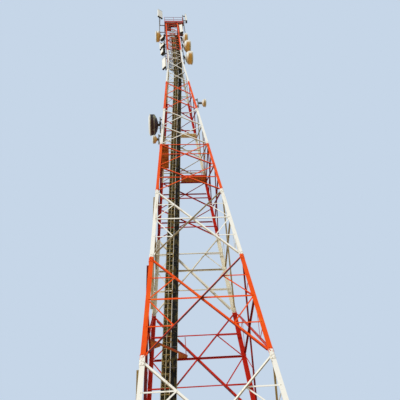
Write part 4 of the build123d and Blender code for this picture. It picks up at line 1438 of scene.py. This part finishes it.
@dataclass
class DishGear(Assembly):
    """Radome covers, shroud bands, bowl rings, stays and outdoor units of the dishes."""

    steps: int = 56
    large: float = 200.0
    shroud_share: float = 0.55
    ring_share: float = 0.62
    ring_height: float = 0.82
    cover_steps: tuple[float, ...] = (0.16, 0.22, 0.26)

    def mouth(self, dish: Dish) -> Matrix:
        """Place at the middle of a dish's radome: Z from there towards the pole."""
        side, (x, y) = POLES[dish.pole].side, self.form.pole_axis(dish.pole)
        return at(x + side * (dish.reach + dish.deep / 2), y, dish.z) @ turn(-90.0 * side, "Y")

    def cover(self, dish: Dish) -> Object:
        """Models the taut cover over a dish's mouth: a shallow dome with a rolled edge.

        Args:
            dish: The dish.

        Returns:
            The new object.
        """
        made = inset(drum(self.steps, dish.radius + 2.4, -0.3, 25.7), looking_down, 7.0, 2.4)
        for share in self.cover_steps:
            inset(made, lambda spot, way: way.z < -0.9 and spot.z < -1.0, share * dish.radius, 1.3)
        return inset(made, lambda spot, way: way.z > 0.9 and spot.z > 25.0, 2.1, -25.2)

    def bands(self, dish: Dish) -> Object:
        """Models the two clamping bands round a dish's shroud, each with its toggle.

        Args:
            dish: The dish.

        Returns:
            The new object.
        """
        parts, r = [], dish.radius
        for low in (28.0, dish.deep * self.shroud_share - 14.0):
            toggle = bar((r + 2.0, -14.0, low + 2.0), (r + 9.0, 14.0, low + 10.0), 1.0)
            parts += [ring(self.steps, r + 0.3, r + 2.6, low, low + 12.0, 0.6), moved(toggle, turn(200.0, "Z"))]
        return join(parts)

    def bowl_ring(self, dish: Dish) -> Object:
        """Models the stiffening ring on the back of a dish's bowl.

        Args:
            dish: The dish.

        Returns:
            The new object.
        """
        height, segments = dish.deep * self.ring_height, {"major_segments": self.steps, "minor_segments": 8}
        radii = {"major_radius": (self.ring_share * dish.radius + 3.0) * MM, "minor_radius": 6.0 * MM}
        middle = (0, 0, (height + 4.0) * MM)
        made = model(bpy.ops.mesh.primitive_torus_add, location=middle, **segments, **radii)
        flat = {"value": (1.0, 1.0, 0.0), "center_override": (0, 0, (height + 8.0) * MM)}
        return shape(made, "FACE", lambda spot, way: way.z > 0.6, lambda: bpy.ops.transform.resize(**flat))

    def stays(self, dish: Dish) -> Object:
        """Models the stays from the bowl's ring to the pole, with flattened ends, in the mouth's frame.

        Args:
            dish: The dish.

        Returns:
            The new object.
        """
        start, end = dish.deep * self.ring_height + 6.0, dish.deep / 2 + dish.reach
        lug = bar((-10.0, -8.0, start - 1.0), (10.0, 8.0, start + 12.0), 1.5)
        collar = moved(ring(16, 19.4, 25.0, -12.0, 12.0, 1.0), at(0, 0, end) @ turn(90.0, "Y"))
        stay = join([disc(10, 6.0, start, end, 1.0), lug, collar])
        return scatter([(stay, at(way * self.ring_share * dish.radius, 0.0, 0.0)) for way in (-1, 1)])

    def outdoor_unit(self) -> Object:
        """Models the finned transceiver that hangs before the pole at a dish's mount.

        Returns:
            The new object.
        """
        body = bar((-34.0, -78.0, -62.0), (34.0, -36.0, 62.0), 4.0)
        foot = bar((-12.0, -40.0, -20.0), (12.0, -32.3, 20.0), 1.0)
        fins = [bar((x, -94.0, -54.0), (x + 2.4, -77.0, 54.0), 0.6) for x in range(-30, 31, 10)]
        handle = bar((-4.0, -112.0, -24.0), (4.0, -93.0, 24.0), 2.0)
        inset(handle, lambda spot, way: way.y > 0.9, 2.0, -10.0)
        plug = join([disc(12, 8.0, 0.0, 22.0, 2.0), ring(6, 7.4, 12.0, 0.0, 6.0, 0.8)])
        return join([body, *fins, handle, moved(plug, at(0, -57.0, -62.0) @ turn(180.0, "X")), foot])

    def build(self) -> None:
        """Builds the fittings of all dishes."""
        dishes = [(dish, self.mouth(dish)) for dish in DISHES.values()]
        large = [(dish, mouth) for dish, mouth in dishes if dish.radius > self.large]
        rows = (
            ("dish_radome_covers", self.cover, dishes, "cover", Slot.RADOME),
            ("dish_shroud_bands", self.bands, dishes, "bright_zinc", Slot.STEEL),
            ("dish_bowl_rings", self.bowl_ring, large, "zinc", Slot.STEEL),
            ("dish_stays", self.stays, large, "zinc", Slot.STEEL),
        )
        for name, make, which, key, slot in rows:
            self.shop.hand_over(name, [moved(make(dish), mouth) for dish, mouth in which], key, slot)
        unit = self.outdoor_unit()
        units = scatter([(unit, at(*self.form.pole_axis(dish.pole), dish.z)) for dish, _ in large])
        self.shop.hand_over("dish_transceivers", [units], "housing", Slot.RADIO)


# Axis that a group of joists lies along, where it starts and ends, and where its webs stand across
JoistGroup = tuple[int, float, float, Sequence[float]]


@dataclass
class PlatformGear(Assembly):
    """Joists, kerbs, posts and fixings of the walkways and the top platform."""

    joist_thick: float = 4.0
    # Foot, top and flange of the joists of the top deck, and of the walkways below their level
    deck_joist: tuple[float, ...] = (25062.0, 25099.7, 22.0)
    walk_joist: tuple[float, ...] = (-46.0, -19.0, 18.0)
    deck_groups: tuple[JoistGroup, ...] = (
        (0, -299.7, -60.3, (-250.0, -170.0, -90.0, 10.0)),
        (0, 330.3, 569.7, (-290.0, -180.0, -70.0, 40.0, 150.0, 250.0)),
        (1, -299.7, -140.3, (-10.0, 60.0, 130.0, 200.0, 262.0)),
    )
    walk_groups: tuple[JoistGroup, ...] = (
        (0, -694.0, -478.0, range(-660, 121, 130)),
        (1, 494.0, 694.0, range(-60, 681, 120)),
    )
    kerb_tall: float = 70.0
    rail_top: float = 13065.0
    post_depth: float = 52.6
    left_posts: tuple[float, ...] = (-100.0, 230.0, 560.0)
    far_posts: tuple[float, ...] = (-600.0, -250.0, 60.0)
    # Place and quarter turns of each post of the top railing that stands on the deck
    railing_posts: tuple[tuple[float, float, int], ...] = (
        (-343.0, -375.0, 0), (112.5, -375.0, 0), (568.0, -375.0, 0), (568.0, 375.0, 2), (600.0, -300.0, 1),
        (-375.0, -300.0, -1), (600.0, 0.0, 1), (-375.0, 0.0, -1), (600.0, 300.0, 1),
    )

    def joists(self, groups: Iterable[JoistGroup], size: Sequence[float]) -> list[Object]:
        """Models groups of angle joists, each an upright web with a level flange under its foot.

        Args:
            groups: The groups, in millimetres.
            size: Foot and top of the webs, and width of the flanges.

        Returns:
            The new objects.
        """
        foot, top, flange = size
        made = []
        for axis, start, end, lines in groups:
            way = -1 if axis else 1
            for line in lines:
                outer = line + self.joist_thick
                made.append(bar((*(start, line)[::way], foot), (*(end, outer)[::way], top), 0.8))
                corner = (*(end, outer + flange)[::way], foot + self.joist_thick)
                made.append(bar((*(start, outer - 0.5)[::way], foot), corner, 0.8))
        return made

    def lay_joists(self) -> None:
        """Lays joists under the top deck and both walkways, and a kerb along the walkways' inner edges."""
        level, (foot, top, flange) = self.form.work_level, self.walk_joist
        self.shop.hand_over("top_deck_joists", self.joists(self.deck_groups, self.deck_joist), "grating", Slot.RED)
        walk = self.joists(self.walk_groups, (level + foot, level + top, flange))
        self.shop.hand_over("walkway_joists", walk, "plate", Slot.RED)
        corners = (((-481.0, -690.0), (-477.5, 150.0)), ((-90.0, 492.5), (690.0, 496.0)))
        kerbs = [bar((*low, level + 0.3), (*high, level + self.kerb_tall), 0.8) for low, high in corners]
        self.shop.hand_over("walkway_kerbs", kerbs, "red", Slot.RED)

    def rail_posts(self) -> None:
        """Stands the work platform's rails on posts with foot plates."""
        form, level = self.form, self.form.work_level
        post = bar((-6.0, 0.4, -12.0), (6.0, form.run_length(level, self.rail_top), 0.0), 1.2)
        foot = bar((-22.0, 0.4, -34.0), (22.0, 5.0, 3.0), 0.8)
        screw = moved(disc(6, 5.0, 0.0, 4.0, 0.7), turn(-90.0, "X"))
        whole = fitted([post, foot], screw, [(x, 5.0, -24.0) for x in (-14.0, 14.0)])
        spots = [(3, x) for x in self.left_posts] + [(2, x) for x in self.far_posts]
        posts = scatter([(whole, form.on_face(quarter, x, level, self.post_depth)) for quarter, x in spots])
        self.shop.hand_over("work_platform_posts", [posts], "red", Slot.RED)

    def railing_feet(self) -> None:
        """Bolts the top railing's posts down through foot plates inside the toe boards."""
        foot = bar((-24.0, 14.3, 0.2), (24.0, 44.0, 5.0), 0.8)
        gusset = bar((-2.0, 14.3, 4.5), (2.0, 40.0, 44.0), 0.6)
        drop = {"value": (0, 0, -32.0 * MM)}
        shape(
            gusset,
            "EDGE",
            lambda spot, way: spot.z > 43.0 and spot.y > 38.0 and abs(way.x) > 0.9,
            lambda: bpy.ops.transform.translate(**drop),
        )
        bolted = fitted([foot, gusset], disc(6, 6.0, 5.0, 10.0, 0.8), [(x, 30.0, 0) for x in (-15, 15)])
        spots = [at(x, y, self.form.deck_level) @ turn(90.0 * quarter, "Z") for x, y, quarter in self.railing_posts]
        self.shop.hand_over("railing_feet", [scatter([(bolted, spot) for spot in spots])], "bright_zinc", Slot.STEEL)

    def build(self) -> None:
        """Builds the details of all platforms."""
        self.lay_joists()
        self.rail_posts()
        self.railing_feet()


@dataclass
class AntennaFeeders(Assembly):
    """The cables that leave the run near the head and follow the steel to each antenna."""

    radius: float = 7.0
    lane_pitch: float = 17.0
    trunk_depth: float = 46.0
    trunk_pitch: float = 25.0
    trunk_edge: float = -258.0
    side_line: float = 291.0
    beside_pole: float = 28.0
    drop: float = 130.0
    # Where the first rear feeder leaves the run, how much higher each next one does, and the trunk's least length
    leave: float = 20080.0
    leave_step: float = 45.0
    trunk_least: float = 560.0
    dish_leave: float = 20400.0
    dish_level: float = 22700.0
    # How far below a right dish its feeder crosses the face, and the least height for that
    dish_below: float = 330.0
    dish_least: float = 20330.0
    # Heights at which the feeders of each unit turn towards its pole
    left_levels: tuple[float, ...] = (24690.0, 21700.0, 22330.0, 21330.0, 20560.0)
    right_levels: tuple[float, ...] = (24700.0, 23290.0)

    def ports(self, unit: Unit, shares: Sequence[float], rise: float) -> list[Vector]:
        """Lower ends of a unit's ports at shares of its width, in millimetres."""
        base = self.form.unit_place(unit)
        return [(base @ at(0, share * unit.width, -unit.length / 2 - rise)).translation / MM for share in shares]

    def dish_port(self, dish: Dish) -> Vector:
        """Lower end of the port of a dish's transceiver, in millimetres."""
        x, y = self.form.pole_axis(dish.pole)
        return Vector((x, y - 57.0, dish.z - 80.0))

    def to_pole(self, pole: str, level: float, port: Vector, lane: float) -> list[tuple[float, ...]]:
        """Routes a cable from inside a face along it, through it and along a pole to a port.

        Args:
            pole: Name of the antenna pole.
            level: Height of the way along the face.
            port: Lower end of the port.
            lane: Distance of this cable from its neighbours' line.

        Returns:
            Points, in millimetres.
        """
        side, (x, y) = POLES[pole].side, self.form.pole_axis(pole)
        line, beside = side * (self.side_line - lane), x - side * (self.beside_pole + 0.3 * lane)
        low = port.z - self.drop
        return [
            (line, 150.0, level),
            (line, y + 130.0, level),
            (line, y + 30.0, level),
            (side * 345.0, y + 4.0, level),
            (beside, y, level),
            (beside, y, level + (60.0 if low > level else -30.0)),
            (beside, y, low),
            (port.x, port.y, low),
            (port.x, port.y, port.z - 50.0),
            tuple(port),
        ]

    def from_rear(self, index: int, start: float, level: float) -> list[tuple[float, ...]]:
        """Routes a cable from a rear feeder of the run out to the left trunk and up it to a level.

        Args:
            index: Number of the cable.
            start: Height at which it leaves the run.
            level: Height of the trunk's end.

        Returns:
            Points, in millimetres.
        """
        row, half = self.form.ladder, self.form.top_half
        x, lane = row.line(index % row.count) - half, self.trunk_edge + index * self.trunk_pitch
        rear, trunk = half - row.depth, half - self.trunk_depth
        return [
            (x, rear, start),
            (x, rear, start + 60.0),
            (x, trunk, start + 150.0),
            (lane, trunk, start + 380.0),
            (lane, trunk, start + 520.0),
            (lane, trunk, level - 140.0),
            (lane, trunk, level),
            (lane - 30.0, trunk - 40.0, level),
        ]

    def from_front(self, count: int, level: float) -> list[tuple[float, ...]]:
        """Routes a cable from a black feeder of the tray out over the climber's side to the right face.

        Args:
            count: Number of feeders that have left the tray before it.
            level: Height at which it reaches the face.

        Returns:
            Points, in millimetres.
        """
        row, half = self.form.tray, self.form.top_half
        x, depth = row.line(row.count - 1 - count) - half, half - row.depth
        steps = ((0.0, 0.0, -420.0), (0.0, 0.0, -330.0), (0.0, -22.0, -230.0), (0.0, -24.0, -110.0), (10.0, -26.0, 0.0))
        return [(x + dx, depth + dy, level + dz) for dx, dy, dz in steps]

    def build(self) -> None:
        """Lays all feeders of the antennas, radio units and dishes near the head."""
        pitch = self.lane_pitch
        routes = []
        for unit, level in zip((ANTENNAS[0], ANTENNAS[1], *RADIOS), self.left_levels):
            radio = unit in RADIOS
            for port in self.ports(unit, (0.0,) if radio else (-0.2, 0.2), 38.0 if radio else 46.0):
                count = len(routes)
                rise = level + pitch * (count % 2)
                start = min(self.leave + self.leave_step * count, rise - self.trunk_least)
                rear = self.from_rear(count, start, rise)
                routes.append(rear + self.to_pole(unit.pole, rise, port, pitch * (count % 3)))
        dish = DISHES["dish_left_top"]
        rear = self.from_rear(len(routes), self.dish_leave, self.dish_level)
        routes.append(rear + self.to_pole(dish.pole, self.dish_level, self.dish_port(dish), 2 * pitch))
        ends = []
        for unit, level in zip((ANTENNAS[4], ANTENNAS[3]), self.right_levels):
            for port in self.ports(unit, (-0.2, 0.2), 46.0):
                rise = level - pitch * len(ends)
                ends.append((unit.pole, rise - 40.0, rise, port))
        for name in ("dish_right_top", "dish_right_middle", "dish_right_lower"):
            dish = DISHES[name]
            level = max(dish.z - self.dish_below, self.dish_least)
            ends.append((dish.pole, level, level, self.dish_port(dish)))
        for count, (pole, low, level, port) in enumerate(ends):
            routes.append(self.from_front(count, low) + self.to_pole(pole, level, port, pitch * (count % 3)))
        cables = [tube(route, self.radius) for route in routes]
        self.shop.hand_over("antenna_feeders_black", cables[::2], "jacket", Slot.JACKET, 60.0)
        self.shop.hand_over("antenna_feeders_dusty", cables[1::2], "dusty_jacket", Slot.JACKET, 60.0)


@dataclass
class Studio:
    """Floor, lights, backdrop colour and the camera that looks up from before the near face."""

    floor_side: float = 400.0
    floor_colour: str = "#D6CFC2"
    backdrop_colour: str = "#C6D6E8"
    fill_colour: str = "#F2F3F5"
    fill: float = 0.52
    key: float = 2.1
    key_spread: float = 12.0
    eye: tuple[float, ...] = (-0.711, -8.109, 0.66)
    azimuth: float = 7.4896
    elevation: float = 50.746
    roll: float = -7.196
    lens: float = 40.92

    def lay_floor(self) -> None:
        """Lays the plain pale floor that takes the tower's shadow."""
        floor = model(bpy.ops.mesh.primitive_plane_add, size=self.floor_side)
        floor.name = "studio_floor"
        floor.data.materials.append(Finish("pale_floor", self.floor_colour, 0.8, 0.5, 40.0).material())

    def hang_lights(self) -> None:
        """Adds a wide soft key light and an even pale surround, which the camera sees as the backdrop."""
        data = bpy.data.lights.new("key_light", "SUN")
        data.energy = self.key
        data.angle = math.radians(self.key_spread)
        lamp = bpy.data.objects.new("key_light", data)
        lamp.rotation_euler = KEY_LIGHT_SIDE.to_track_quat("Z", "Y").to_euler()
        bpy.context.scene.collection.objects.link(lamp)
        world = bpy.data.worlds.new("surround")
        world.use_nodes = True
        tree = world.node_tree
        tree.nodes.clear()
        rays = [add_node(tree, "LightPath", {}, f"Is {kind} Ray") for kind in ("Camera", "Glossy", "Transmission")]
        seen = add_node(tree, "Math", {0: rays[0], 1: rays[1]}, operation="MAXIMUM")
        seen = add_node(tree, "Math", {0: seen, 1: rays[2]}, operation="MAXIMUM")
        fill = add_node(tree, "Background", {"Color": linear(self.fill_colour), "Strength": self.fill})
        backdrop = add_node(tree, "Background", {"Color": linear(self.backdrop_colour), "Strength": 1.0})
        mix = add_node(tree, "MixShader", {0: seen, 1: fill, 2: backdrop})
        add_node(tree, "OutputWorld", {"Surface": mix})
        bpy.context.scene.world = world

    def place_camera(self) -> None:
        """Puts the camera close before the near face, looking steeply up."""
        azimuth, tilt, roll = (math.radians(angle) for angle in (self.azimuth, self.elevation, self.roll))
        ahead = Vector((math.sin(azimuth) * math.cos(tilt), math.cos(azimuth) * math.cos(tilt), math.sin(tilt)))
        right = Vector((math.cos(azimuth), -math.sin(azimuth), 0))
        up = right.cross(ahead)
        side = right * math.cos(roll) + up * math.sin(roll)
        top = up * math.cos(roll) - right * math.sin(roll)
        data = bpy.data.cameras.new("view_from_the_ground")
        data.lens = self.lens
        data.clip_end = 1000.0
        camera = bpy.data.objects.new("view_from_the_ground", data)
        camera.location = self.eye
        camera.rotation_euler = Matrix((side, top, -ahead)).transposed().to_euler()
        bpy.context.scene.collection.objects.link(camera)
        bpy.context.scene.camera = camera

    def build(self) -> None:
        """Sets the whole stage."""
        self.lay_floor()
        self.hang_lights()
        self.place_camera()
        bpy.context.scene.view_settings.view_transform = "Standard"


def main() -> None:
    """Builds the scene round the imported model."""
    logging.basicConfig(level=logging.INFO)
    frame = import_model()
    Studio().build()
    form, shop = TowerForm(), Paintshop()
    for name, node in sorted(frame["nodes"].items()):
        shop.dress(node, next(key for part, key in NODE_FINISHES.items() if part in name))
    for part in (Fastenings, CableRun, PoleGear, AntennaGear, DishGear, AntennaFeeders, PlatformGear):
        part(form, shop).build()
        LOG.info("built %s", part.__name__)


if __name__ == "__main__":
    main()
